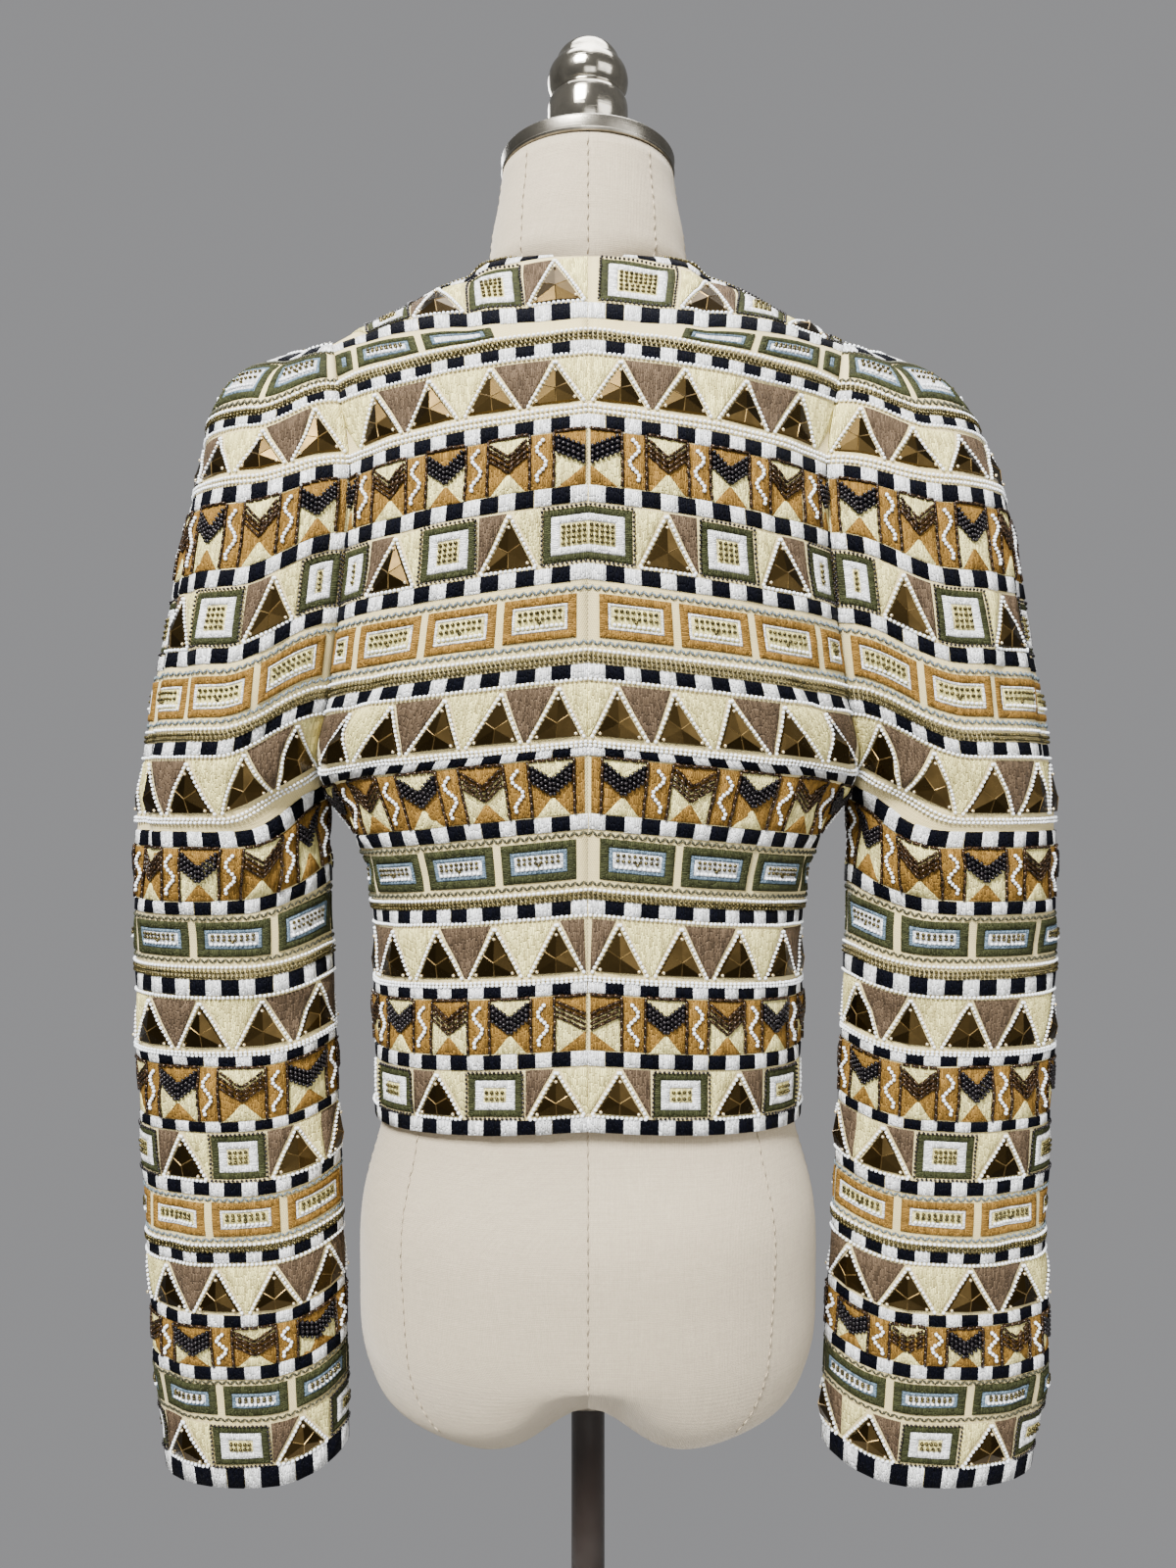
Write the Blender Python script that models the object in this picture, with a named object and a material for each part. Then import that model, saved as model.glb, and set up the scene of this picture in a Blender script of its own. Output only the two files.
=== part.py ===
"""Cropped collarless jacket with long sleeves, on a limbless dress form and a turned stand.

Metres, +Z up. The origin is at the centre of the stand's underside. The jacket's back faces -Y
and its right-hand side, seen from behind, is +X. Every panel of cloth is a wall of constant
thickness whose rows follow the bands of the embroidery, from the hem or cuff up.
"""

import math
from collections import namedtuple

import bmesh
import bpy
import numpy as np
from mathutils import Vector

WALL = 0.002
SEAM_GAP = 0.0003
HALF_GAP = SEAM_GAP / 2
BACK = -1
FRONT = 1

# Jacket: heights above the floor
HEM_HEIGHT = 0.890
UNDERARM_ROW = 1.0959
CAP_ROW = 1.300
TOP_ROW = 1.377
NECK_SIDE = Vector((0.068, 0.0, 1.387))
SHOULDER_TIP = Vector((0.158, 0.0, 1.348))
NAPE_DEPTH = 0.064
THROAT_DEPTH = 0.086
THROAT_HEIGHT = 1.313

# Armhole, a rounded upright loop at each side
ARMHOLE_LOW = 1.081
ARMHOLE_HALF_HEIGHT = 0.1335
ARMHOLE_HALF_DEPTH = 0.058
ARMHOLE_WIDE_X = 0.1595

# Triangular studs of the pointed bands
STUD_PITCH = 0.0345
STUD_MARGIN = 0.0036
STUD_RIM = 0.0011
STUD_PEAK = 0.0014

# One row for each level of the torso: height at centre back, height at the side seam or armhole,
# half width there, depth of the back, depth of the front, roundness of the section
TorsoRow = namedtuple("TorsoRow", "centre side half back front round")
TORSO_ROWS = (
    TorsoRow(0.8900, 0.8810, 0.1290, 0.0820, 0.0940, 0.44),
    TorsoRow(0.9500, 0.9400, 0.1300, 0.0830, 0.0950, 0.44),
    TorsoRow(1.0160, 1.0040, 0.1305, 0.0840, 0.0975, 0.44),
    TorsoRow(1.0450, 1.0310, 0.1350, 0.0865, 0.1020, 0.44),
    TorsoRow(1.0750, 1.0600, 0.1480, 0.0900, 0.1080, 0.44),
    TorsoRow(UNDERARM_ROW, ARMHOLE_LOW, ARMHOLE_WIDE_X, 0.0925, 0.1110, 0.46),
    TorsoRow(1.1500, 1.1345, 0.1480, 0.0980, 0.1130, 0.60),
    TorsoRow(1.2000, 1.1830, 0.1410, 0.1005, 0.1100, 0.72),
    TorsoRow(1.2826, 1.2675, 0.1365, 0.0980, 0.0990, 0.85),
    TorsoRow(CAP_ROW, 1.2845, 0.1390, 0.0940, 0.0950, 0.85),
    TorsoRow(TOP_ROW, 1.3480, 0.1580, 0.0640, 0.0860, 0.85),
)
FRONT_RISE = 0.917
FRONT_HEM = 0.885

# One row for each level of the sleeves: level of the torso's rows carried on round the sleeve, height
# on the outer side, distance of the outer and inner sides from the centre plane, fullness in depth
SleeveRow = namedtuple("SleeveRow", "row height left_out left_in right_out right_in depth")
CUFF_HEIGHT = 0.6640
SLEEVE_SHIFT = 0.0434
SLEEVE_ROWS = (
    SleeveRow(CUFF_HEIGHT + SLEEVE_SHIFT, CUFF_HEIGHT, 0.2588, 0.1485, 0.2725, 0.1450, 0.0310),
    SleeveRow(0.720 + SLEEVE_SHIFT, 0.720, 0.2655, 0.1495, 0.2825, 0.1465, 0.0335),
    SleeveRow(0.800 + SLEEVE_SHIFT, 0.800, 0.2705, 0.1520, 0.2810, 0.1515, 0.0350),
    SleeveRow(0.900 + SLEEVE_SHIFT, 0.900, 0.2758, 0.1560, 0.2848, 0.1565, 0.0375),
    SleeveRow(0.980 + SLEEVE_SHIFT, 0.980, 0.2770, 0.1590, 0.2862, 0.1600, 0.0440),
    SleeveRow(UNDERARM_ROW, 1.0525, 0.2745, 0.1595, 0.2842, 0.1595, 0.0540),
    SleeveRow(1.1353, 1.0944, 0.2705, 0.1500, 0.2815, 0.1500, 0.0460),
    SleeveRow(1.1970, 1.1560, 0.2605, 0.1410, 0.2720, 0.1410, 0.0380),
    SleeveRow(1.2384, 1.2007, 0.2515, 0.1370, 0.2640, 0.1370, 0.0350),
    SleeveRow(1.2826, 1.2550, 0.2390, 0.1365, 0.2540, 0.1365, 0.0330),
    SleeveRow(1.3176, 1.2840, 0.2335, 0.1420, 0.2425, 0.1420, 0.0300),
    SleeveRow(1.3270, 1.2976, 0.2315, 0.1450, 0.2365, 0.1450, 0.0280),
    SleeveRow(1.3420, 1.3180, 0.2225, 0.1490, 0.2230, 0.1490, 0.0240),
    SleeveRow(1.3580, 1.3330, 0.2050, 0.1540, 0.2010, 0.1540, 0.0170),
    SleeveRow(1.3660, 1.3405, 0.1850, 0.1560, 0.1830, 0.1560, 0.0120),
    SleeveRow(TOP_ROW, 1.3480, 0.1580, 0.1580, 0.1580, 0.1580, 0.0000),
)
CUFF_RISE = 0.012
ELBOW_RISE = 0.009

# Bands of the cloth, from the hem or cuff up, with the kind of band above each line: studs side by side
# in "points", studs between squares in "squares", with a square on the seam, and in "hem", with none
Line = namedtuple("Line", "centre side band")
STUD_BANDS = ("points", "squares", "hem")
SHARED_LINES = (
    Line(UNDERARM_ROW, UNDERARM_ROW, "plain"),
    Line(1.1038, 1.1038, "points"),
    Line(1.1353, 1.1353, "plain"),
    Line(1.1533, 1.1533, "plain"),
    Line(1.1870, 1.1870, "plain"),
    Line(1.1970, 1.1970, "squares"),
    Line(1.2296, 1.2296, "plain"),
    Line(1.2384, 1.2384, "plain"),
    Line(1.2690, 1.2690, "plain"),
    Line(1.2826, 1.2826, "points"),
    Line(1.3106, 1.3176, "plain"),
    Line(1.3265, 1.3270, "plain"),
    Line(1.3290, 1.3425, "plain"),
    Line(1.3311, 1.3580, "plain"),
    Line(1.3425, 1.3660, "squares"),
    Line(TOP_ROW, TOP_ROW, "end"),
)
TORSO_LINES = (
    Line(HEM_HEIGHT, HEM_HEIGHT, "plain"),
    Line(0.8981, 0.8981, "hem"),
    Line(0.9264, 0.9264, "plain"),
    Line(0.9345, 0.9345, "plain"),
    Line(0.9666, 0.9666, "plain"),
    Line(0.9758, 0.9758, "points"),
    Line(1.0079, 1.0079, "plain"),
    Line(1.0240, 1.0240, "plain"),
    Line(1.0560, 1.0560, "plain"),
    Line(1.0780, 1.0780, "plain"),
) + SHARED_LINES
SLEEVE_BANDS = (
    (0.6640, "plain"),
    (0.6758, "squares"),
    (0.7030, "plain"),
    (0.7310, "plain"),
    (0.7610, "plain"),
    (0.7672, "points"),
    (0.7965, "plain"),
    (0.8103, "plain"),
    (0.8460, "squares"),
    (0.8759, "plain"),
    (0.8816, "plain"),
    (0.9150, "plain"),
    (0.9236, "points"),
    (0.9552, "plain"),
    (0.9754, "plain"),
    (1.0050, "plain"),
    (1.0300, "plain"),
)
SLEEVE_LINES = tuple(Line(z + SLEEVE_SHIFT, z + SLEEVE_SHIFT, band) for z, band in SLEEVE_BANDS)

# Long soft folds of the sleeves: share of the way round from the inner seam over the back,
# half width of the fold as such a share, depth, lowest and highest level
Fold = namedtuple("Fold", "around half_width depth low high")
LEFT_FOLDS = (
    Fold(0.39, 0.045, 0.0050, 0.98, 1.24),
    Fold(0.10, 0.050, 0.0040, 1.07, 1.17),
    Fold(0.24, 0.060, -0.0020, 0.80, 0.94),
)
RIGHT_FOLDS = (
    Fold(0.40, 0.050, 0.0040, 1.02, 1.26),
    Fold(0.10, 0.050, 0.0040, 1.07, 1.17),
    Fold(0.27, 0.060, -0.0020, 0.76, 0.92),
)

# Dress form, one row for each level: height, half width, depth of the back and the front, roundness
FormRow = namedtuple("FormRow", "height half back front power")
FORM_ROWS = (
    FormRow(0.7020, 0.1060, 0.0640, 0.0620, 2.5),
    FormRow(0.7180, 0.1240, 0.0790, 0.0740, 2.5),
    FormRow(0.7420, 0.1350, 0.0890, 0.0830, 2.4),
    FormRow(0.7900, 0.1388, 0.0950, 0.0880, 2.3),
    FormRow(0.8300, 0.1375, 0.0940, 0.0880, 2.3),
    FormRow(0.8750, 0.1265, 0.0770, 0.0850, 2.3),
    FormRow(0.9300, 0.1170, 0.0690, 0.0820, 2.2),
    FormRow(1.0000, 0.1110, 0.0660, 0.0800, 2.2),
    FormRow(1.0600, 0.1180, 0.0720, 0.0880, 2.2),
    FormRow(1.1200, 0.1280, 0.0800, 0.0980, 2.2),
    FormRow(1.1800, 0.1270, 0.0870, 0.0980, 2.2),
    FormRow(1.2400, 0.1260, 0.0900, 0.0900, 2.1),
    FormRow(1.2900, 0.1290, 0.0830, 0.0790, 2.0),
    FormRow(1.3250, 0.1360, 0.0720, 0.0670, 1.8),
    FormRow(1.3420, 0.1400, 0.0650, 0.0580, 1.55),
)
FORM_BOTTOM = 0.6880
FORM_NOTCH = 0.030
FORM_NOTCH_HALF = 0.034
FORM_SEGMENTS = 32
SEAT_RADIUS = 0.0135
NECK_ROWS = (
    FormRow(1.3830, 0.0650, 0.0500, 0.0470, 1.5),
    FormRow(1.3915, 0.0620, 0.0525, 0.0505, 2.0),
    FormRow(1.4020, 0.0605, 0.0530, 0.0520, 2.0),
    FormRow(1.4170, 0.0590, 0.0535, 0.0525, 2.0),
    FormRow(1.4340, 0.0555, 0.0530, 0.0525, 2.0),
    FormRow(1.4537, 0.0530, 0.0520, 0.0520, 2.0),
)
RIDGE_CLEARANCE = 0.0032

# Turned pieces: radius and height of each step of the profile
PLATE_RADIUS = 0.0535
PLATE_BOTTOM = 1.4540
PLATE_TOP = 1.4640
FINIAL_BOTTOM = PLATE_TOP + SEAM_GAP
FINIAL_TOP = 1.5380
FINIAL_PROFILE = (
    (0.0200, 0.000),
    (0.0190, 0.012),
    (0.0225, 0.0185),
    (0.0243, 0.0240),
    (0.0247, 0.0300),
    (0.0238, 0.0360),
    (0.0218, 0.0400),
    (0.0240, 0.0440),
    (0.0248, 0.0490),
    (0.0243, 0.0540),
    (0.0218, 0.0590),
    (0.0200, 0.0605),
    (0.0170, 0.0660),
    (0.0115, 0.0705),
)
POLE_RADIUS = 0.0103
BASE_RADIUS = 0.170
BASE_THICKNESS = 0.016
BOSS_RADIUS = 0.024
BOSS_TOP = 0.034
TURNED_SEGMENTS = 32

TINY = 1e-4
SHARE_STEP = 0.02


def clear_scene():
    """Empties the scene."""
    for thing in list(bpy.data.objects):
        bpy.data.objects.remove(thing, do_unlink=True)


def material(name, colour, roughness, metallic=0.0):
    """A Principled material of one colour."""
    made = bpy.data.materials.new(name)
    made.use_nodes = True
    made.diffuse_color = (*colour, 1.0)
    shader = made.node_tree.nodes["Principled BSDF"]
    shader.inputs["Base Color"].default_value = (*colour, 1.0)
    shader.inputs["Roughness"].default_value = roughness
    shader.inputs["Metallic"].default_value = metallic
    return made


def object_from(bm, name, finish, smooth_degrees=35.0):
    """Makes an object of a closed bmesh, with its faces turned out."""
    bmesh.ops.recalc_face_normals(bm, faces=bm.faces)
    mesh = bpy.data.meshes.new(name)
    bm.to_mesh(mesh)
    bm.free()
    mesh.shade_smooth()
    mesh.set_sharp_from_angle(angle=math.radians(smooth_degrees))
    mesh.materials.append(finish)
    made = bpy.data.objects.new(name, mesh)
    bpy.context.scene.collection.objects.link(made)
    return made


def column(rows, key, name, at):
    """A column of a table read at a level, on a smooth curve through its rows."""
    xs = np.array([getattr(row, key) for row in rows])
    ys = np.array([getattr(row, name) for row in rows])
    slopes = np.gradient(ys, xs)
    at = min(max(at, xs[0]), xs[-1])
    i = min(int(np.searchsorted(xs, at, side="right")) - 1, len(xs) - 2)
    width = xs[i + 1] - xs[i]
    share = (at - xs[i]) / width
    rise = share * share * (3 - 2 * share)
    leaving = share * (1 - share) ** 2 * slopes[i]
    arriving = -share * share * (1 - share) * slopes[i + 1]
    return float(ys[i] + (ys[i + 1] - ys[i]) * rise + width * (leaving + arriving))


def smoothstep(low, high, value):
    """Rises smoothly from 0 to 1 between two values."""
    share = min(max((value - low) / (high - low), 0.0), 1.0)
    return share * share * (3 - 2 * share)


def armhole_depth(height):
    """How far the armhole's loop stands from the shoulder line at a height."""
    middle = ARMHOLE_LOW + ARMHOLE_HALF_HEIGHT
    share = min(abs(height - middle) / ARMHOLE_HALF_HEIGHT, 1.0)
    return ARMHOLE_HALF_DEPTH * (1 - share**2.2) ** (1 / 2.2)


def torso_section(face, row, across):
    """Point of a level section below the shoulder's turn, across from 0 at centre to 1 at the side."""
    side_height = column(TORSO_ROWS, "centre", "side", row)
    half = column(TORSO_ROWS, "centre", "half", row)
    depth = column(TORSO_ROWS, "centre", "back" if face == BACK else "front", row)
    roundness = column(TORSO_ROWS, "centre", "round", row)
    side_depth = armhole_depth(side_height) if row > UNDERARM_ROW else 0.0
    middle_height = row if face == BACK else FRONT_HEM + (row - HEM_HEIGHT) * FRONT_RISE
    curve = max(1 - across**2.2, 0.0) ** roundness
    y = side_depth + (depth - side_depth) * curve
    return Vector((half * across, face * y, middle_height + (side_height - middle_height) * across))


def top_edge(face, across):
    """Point of the neckline and shoulder seam."""
    x = SHOULDER_TIP.x * across
    if x >= NECK_SIDE.x:
        share = (x - NECK_SIDE.x) / (SHOULDER_TIP.x - NECK_SIDE.x)
        return NECK_SIDE.lerp(SHOULDER_TIP, share)
    share = x / NECK_SIDE.x
    depth = NAPE_DEPTH if face == BACK else THROAT_DEPTH
    low = TOP_ROW if face == BACK else THROAT_HEIGHT
    y = depth * math.sqrt(1 - share**2)
    return Vector((x, face * y, low + (NECK_SIDE.z - low) * share**2))


def torso_point(face, row, across):
    """Point of the jacket's outer face."""
    if row <= CAP_ROW:
        return torso_section(face, row, across)
    low = torso_section(face, CAP_ROW, across)
    high = top_edge(face, across)
    turn = (row - CAP_ROW) / (TOP_ROW - CAP_ROW)
    angle = turn * math.pi / 2
    power = 1.35 + 0.75 * smoothstep(0.15, 0.6, across)
    back_share = max(math.cos(angle), 0.0) ** (2 / power)
    rise_share = math.sin(angle) ** (2 / power)
    x = low.x + (high.x - low.x) * turn
    y = high.y + (low.y - high.y) * back_share
    z = low.z + (high.z - low.z) * rise_share
    return Vector((x, y, z))


def fan(line, across):
    """Level of a band's line part way across: near the neck the lines close up."""
    return line.centre + (line.side - line.centre) * smoothstep(0.2, 1.0, across)


def torso_line(face, side):
    """Gives the function of share across for points on the right or left half of the torso."""

    def point(line, share):
        across = math.sin(share * math.pi / 2)
        found = torso_point(face, fan(line, across), across)
        return Vector((side * found.x, found.y, found.z))

    return point


def fold_depth(folds, row, share):
    """How far the folds take the sleeve's cloth in."""
    depth = 0.0
    for fold in folds:
        near = 1 - smoothstep(0.0, fold.half_width, abs(share - fold.around))
        middle = (fold.low + fold.high) / 2
        span = (fold.high - fold.low) / 2
        along = 1 - smoothstep(0.3 * span, span, abs(row - SLEEVE_SHIFT - middle))
        depth += fold.depth * near * along
    return depth


def sleeve_rise(row, height):
    """How much higher a level runs at the armhole or inner seam than on the outer side."""
    if row >= UNDERARM_ROW:
        return torso_point(BACK, row, 1.0).z - height
    at_underarm = ARMHOLE_LOW - column(SLEEVE_ROWS, "row", "height", UNDERARM_ROW)
    settled = ELBOW_RISE + (CUFF_RISE - ELBOW_RISE) * smoothstep(0.85, 0.66, row - SLEEVE_SHIFT)
    return settled + (at_underarm - settled) * smoothstep(UNDERARM_ROW - 0.08, UNDERARM_ROW, row)


def sleeve_point(side, row, share):
    """Point of a sleeve's outer face, share from 0 at the back of the armhole round to 1 at its front."""
    name = "left" if side < 0 else "right"
    outer = column(SLEEVE_ROWS, "row", name + "_out", row)
    height = column(SLEEVE_ROWS, "row", "height", row)
    fullness = column(SLEEVE_ROWS, "row", "depth", row)
    if row > UNDERARM_ROW:
        edge = torso_point(BACK, row, 1.0)
        inner = edge.x
        edge_depth = abs(edge.y)
    else:
        inner = column(SLEEVE_ROWS, "row", name + "_in", row)
        edge_depth = 0.0
    depth = math.hypot(edge_depth, fullness)
    start = math.atan2(edge_depth, fullness) if depth > TINY else math.pi / 3
    half = (outer - inner) / (1 + math.cos(start))
    turn = start + (2 * math.pi - 2 * start) * share
    centre = outer - half
    seam = 0.5 + 0.5 * math.cos(math.pi * min(min(share, 1 - share) / 0.2, 1.0))
    inward = fold_depth(LEFT_FOLDS if side < 0 else RIGHT_FOLDS, row, share)
    scale = 1 - inward / max(half, 0.01)
    x = centre - half * math.cos(turn) * scale
    y = -depth * math.sin(turn) * scale
    z = height + sleeve_rise(row, height) * seam
    return Vector((side * x, y, z))


def sleeve_line(side):
    """Gives the function of share round the sleeve for points of a line."""

    def point(line, share):
        return sleeve_point(side, line.side, share)

    return point


def line_length(point, line, samples=48):
    """Length of a line of the cloth, and the shares at which equal lengths fall."""
    shares = np.linspace(0, 1, samples + 1)
    places = np.array([point(line, float(share)) for share in shares])
    steps = np.linalg.norm(np.diff(places, axis=0), axis=1)
    run = np.concatenate([[0.0], np.cumsum(steps)])
    return float(run[-1]), shares, run


def normal_at(point, lines, index, share):
    """Unit vector straight out of the cloth, on one side or the other."""
    low = lines[max(index - 1, 0)]
    high = lines[min(index + 1, len(lines) - 1)]
    before = max(share - SHARE_STEP, 0.0)
    after = min(share + SHARE_STEP, 1.0)
    along = point(lines[index], after) - point(lines[index], before)
    upward = point(high, share) - point(low, share)
    return along.cross(upward).normalized()


def shares_for(kind, length, closed):
    """Shares along a line at which a band's corners fall, two steps to each stud."""
    if closed:
        count = 2 * round(length / STUD_PITCH)
        return [i / count for i in range(count + 1)]
    half_pitch = STUD_PITCH / 2 / length
    first = 1.5 * half_pitch if kind == "squares" else half_pitch
    found = [0.0]
    if kind == "squares":
        found.append(first / 2)
    at = first
    while at < 1 - 0.4 * half_pitch:
        found.append(at)
        at += half_pitch
    return found + [1.0]


def stud_starts(kind, shares, closed):
    """Indices at which a stud's base begins."""
    count = len(shares) - 1
    if kind == "points":
        return range(0, count - 1, 2)
    if kind == "hem":
        return range(0, count - 1, 4)
    first = 1 if closed else 2
    return range(first, count - 1, 4)


class Panel:
    """One piece of cloth: an outer face with its studs over a plain inner face, closed at its edges."""

    def __init__(self, point, lines, flip, closed_below, edge_shift):
        self.point = point
        self.lines = lines
        self.flip = flip
        self.closed_below = closed_below
        self.edge_shift = edge_shift
        self.bm = bmesh.new()
        self.studs = []

    def is_closed(self, index):
        return self.closed_below is not None and self.lines[index].side <= self.closed_below

    def stud_kind(self, index):
        """Kind of studs whose corners the line carries, below or above it."""
        if self.lines[index].band in STUD_BANDS:
            return self.lines[index].band
        if index and self.lines[index - 1].band in STUD_BANDS:
            return self.lines[index - 1].band
        return "points"

    def row_shares(self, index):
        """Even-length shares of a line."""
        base = index
        if index and self.lines[index - 1].band in STUD_BANDS:
            base = index - 1
        length, _, _ = line_length(self.point, self.lines[base])
        wanted = shares_for(self.stud_kind(index), max(length, STUD_PITCH), self.is_closed(base))
        length, shares, run = line_length(self.point, self.lines[index])
        return [float(np.interp(want * length, run, shares)) for want in wanted]

    def add_row(self, index):
        """Outer and inner vertices of one line."""
        line = self.lines[index]
        length, _, _ = line_length(self.point, line)
        if length < TINY:
            place, _ = self.edge_shift(self.point(line, 0.5), line, 0.5, None)
            inner = place - Vector((0.0, 0.0, WALL))
            return [self.bm.verts.new(place)], [self.bm.verts.new(inner)]
        closed = self.is_closed(index)
        outer = []
        inner = []
        shares = self.row_shares(index)
        for number, share in enumerate(shares):
            if closed and number == len(shares) - 1:
                outer.append(outer[0])
                inner.append(inner[0])
                continue
            place = self.point(line, share)
            out = normal_at(self.point, self.lines, index, share) * self.flip
            place, out = self.edge_shift(place, line, share, out)
            outer.append(self.bm.verts.new(place))
            inner.append(self.bm.verts.new(place - out * WALL))
        return outer, inner

    def face(self, verts):
        """A face, unless two of its corners are one."""
        kept = [v for i, v in enumerate(verts) if v is not verts[i - 1]]
        if len(kept) > 2:
            return self.bm.faces.new(kept)
        return None

    def stitch(self, lower, upper):
        """Fills a strip between two lines that need not have the same number of points."""
        i = 0
        j = 0
        last_low = len(lower) - 1
        last_high = len(upper) - 1
        while i < last_low or j < last_high:
            low_share = (i + 1) / last_low if i < last_low else 2.0
            high_share = (j + 1) / last_high if j < last_high else 2.0
            if abs(low_share - high_share) < TINY:
                self.face([lower[i], lower[i + 1], upper[j + 1], upper[j]])
                i += 1
                j += 1
            elif low_share < high_share:
                self.face([lower[i], lower[i + 1], upper[j]])
                i += 1
            else:
                self.face([lower[i], upper[j + 1], upper[j]])
                j += 1

    def stud_strip(self, kind, lower, upper, closed):
        """Fills a strip between two lines with the same points, and keeps the faces that carry studs."""
        starts = set(stud_starts(kind, lower, closed))
        i = 0
        while i < len(lower) - 1:
            if i in starts:
                self.face([lower[i], upper[i + 1], upper[i]])
                stud = self.face([lower[i], lower[i + 1], lower[i + 2], upper[i + 1]])
                self.face([lower[i + 2], upper[i + 2], upper[i + 1]])
                self.studs.append(stud)
                i += 2
            else:
                self.face([lower[i], lower[i + 1], upper[i + 1], upper[i]])
                i += 1

    def close_edge(self, outer, inner):
        """Joins the outer and inner face along an edge."""
        for i in range(len(outer) - 1):
            self.face([outer[i], inner[i], inner[i + 1], outer[i + 1]])

    def raise_studs(self):
        """Raises each stud as a low pyramid inside its triangle."""
        faces = [face for face in self.studs if face is not None]
        bmesh.ops.recalc_face_normals(self.bm, faces=self.bm.faces)
        bmesh.ops.inset_individual(self.bm, faces=faces, thickness=STUD_MARGIN, use_even_offset=True)
        for face in faces:
            out = face.normal.copy()
            for vert in face.verts:
                vert.co += out * STUD_RIM
        bmesh.ops.poke(self.bm, faces=faces, offset=STUD_PEAK, center_mode="MEAN")

    def build(self, name, finish):
        """Makes the whole piece."""
        rows = [self.add_row(index) for index in range(len(self.lines))]
        for index in range(len(rows) - 1):
            (low_out, low_in), (high_out, high_in) = rows[index], rows[index + 1]
            kind = self.lines[index].band
            if kind in STUD_BANDS and len(low_out) == len(high_out):
                self.stud_strip(kind, low_out, high_out, self.is_closed(index))
            else:
                self.stitch(low_out, high_out)
            self.stitch(low_in, high_in)
        self.close_edge(*rows[0])
        self.close_edge(*rows[-1])
        open_rows = [row for index, row in enumerate(rows) if not self.is_closed(index)]
        if self.closed_below is not None:
            last_ring = max(index for index in range(len(rows)) if self.is_closed(index))
            open_rows.insert(0, rows[last_ring])
        self.close_edge([row[0][0] for row in open_rows], [row[1][0] for row in open_rows])
        self.close_edge([row[0][-1] for row in open_rows], [row[1][-1] for row in open_rows])
        self.raise_studs()
        return object_from(self.bm, name, finish)


def torso_edge_shift(face, side):
    """Keeps a torso panel's edges half a seam's gap from the next piece."""

    def shift(place, line, share, out):
        if share <= 0.0:
            place.x = side * HALF_GAP
            out.x = 0.0
        if share >= 1.0:
            place.x -= side * HALF_GAP
        if abs(place.y) < HALF_GAP:
            place.y = face * HALF_GAP
            out.y = 0.0
        return place, out.normalized()

    return shift


def sleeve_edge_shift(side):
    """Keeps a sleeve's edge half a seam's gap outside the armhole."""

    def shift(place, line, share, out):
        if line.side >= UNDERARM_ROW:
            place.x += side * HALF_GAP
        return place, out

    return shift


def torso_panel(name, face, side, finish):
    """A front or back half of the torso."""
    panel = Panel(torso_line(face, side), TORSO_LINES, -face * side, None, torso_edge_shift(face, side))
    return panel.build(name, finish)


def sleeve(name, side, finish):
    """A set-in sleeve, a tube below the armhole."""
    lines = SLEEVE_LINES + SHARED_LINES
    panel = Panel(sleeve_line(side), lines, side, UNDERARM_ROW, sleeve_edge_shift(side))
    return panel.build(name, finish)


def ring_point(row, angle):
    """Point of one of the dress form's level sections, from the back round by the right."""
    across = math.sin(angle)
    through = math.cos(angle)
    power = 2 / row.power
    x = math.copysign(row.half * abs(across) ** power, across)
    depth = row.back if through > 0 else row.front
    y = -math.copysign(depth * abs(through) ** power, through)
    return x, y


def form_rows():
    """All levels of the dress form: below the shoulders, along their slope and up the neck."""
    slope = (NECK_SIDE.z - SHOULDER_TIP.z) / (SHOULDER_TIP.x - NECK_SIDE.x)
    shoulders = []
    for half, back, front in ((0.128, 0.0570, 0.0480), (0.104, 0.0530, 0.0450), (0.082, 0.0470, 0.0410)):
        height = NECK_SIDE.z - (half - NECK_SIDE.x) * slope - RIDGE_CLEARANCE
        shoulders.append(FormRow(height, half, back, front, 1.35))
    return FORM_ROWS + tuple(shoulders) + NECK_ROWS


def form_body(finish):
    """The padded torso and neck, one closed piece with two soft lobes below."""
    bm = bmesh.new()
    rings = []
    angles = [2 * math.pi * i / FORM_SEGMENTS for i in range(FORM_SEGMENTS)]
    first = FORM_ROWS[0]
    for scale, height in ((0.35, FORM_BOTTOM), (0.75, FORM_BOTTOM + 0.002)):
        flat = first._replace(height=height, half=first.half * scale, back=first.back * scale,
                              front=first.front * scale)
        rings.append(flat)
    rings += form_rows()
    seat = FORM_BOTTOM + FORM_NOTCH
    loops = [[
        bm.verts.new((SEAT_RADIUS * math.sin(angle), -SEAT_RADIUS * math.cos(angle), seat))
        for angle in angles
    ]]
    for row in rings:
        loop = []
        for angle in angles:
            x, y = ring_point(row, angle)
            notch = FORM_NOTCH * math.exp(-((x / FORM_NOTCH_HALF) ** 2))
            low = 1 - smoothstep(FORM_BOTTOM + 0.02, FORM_BOTTOM + 0.07, row.height)
            loop.append(bm.verts.new((x, y, row.height + notch * low)))
        loops.append(loop)
    for lower, upper in zip(loops, loops[1:]):
        for i in range(FORM_SEGMENTS):
            j = (i + 1) % FORM_SEGMENTS
            bm.faces.new((lower[i], lower[j], upper[j], upper[i]))
    bm.faces.new(reversed(loops[0]))
    bm.faces.new(loops[-1])
    return object_from(bm, "form_body", finish, 60.0)


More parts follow.
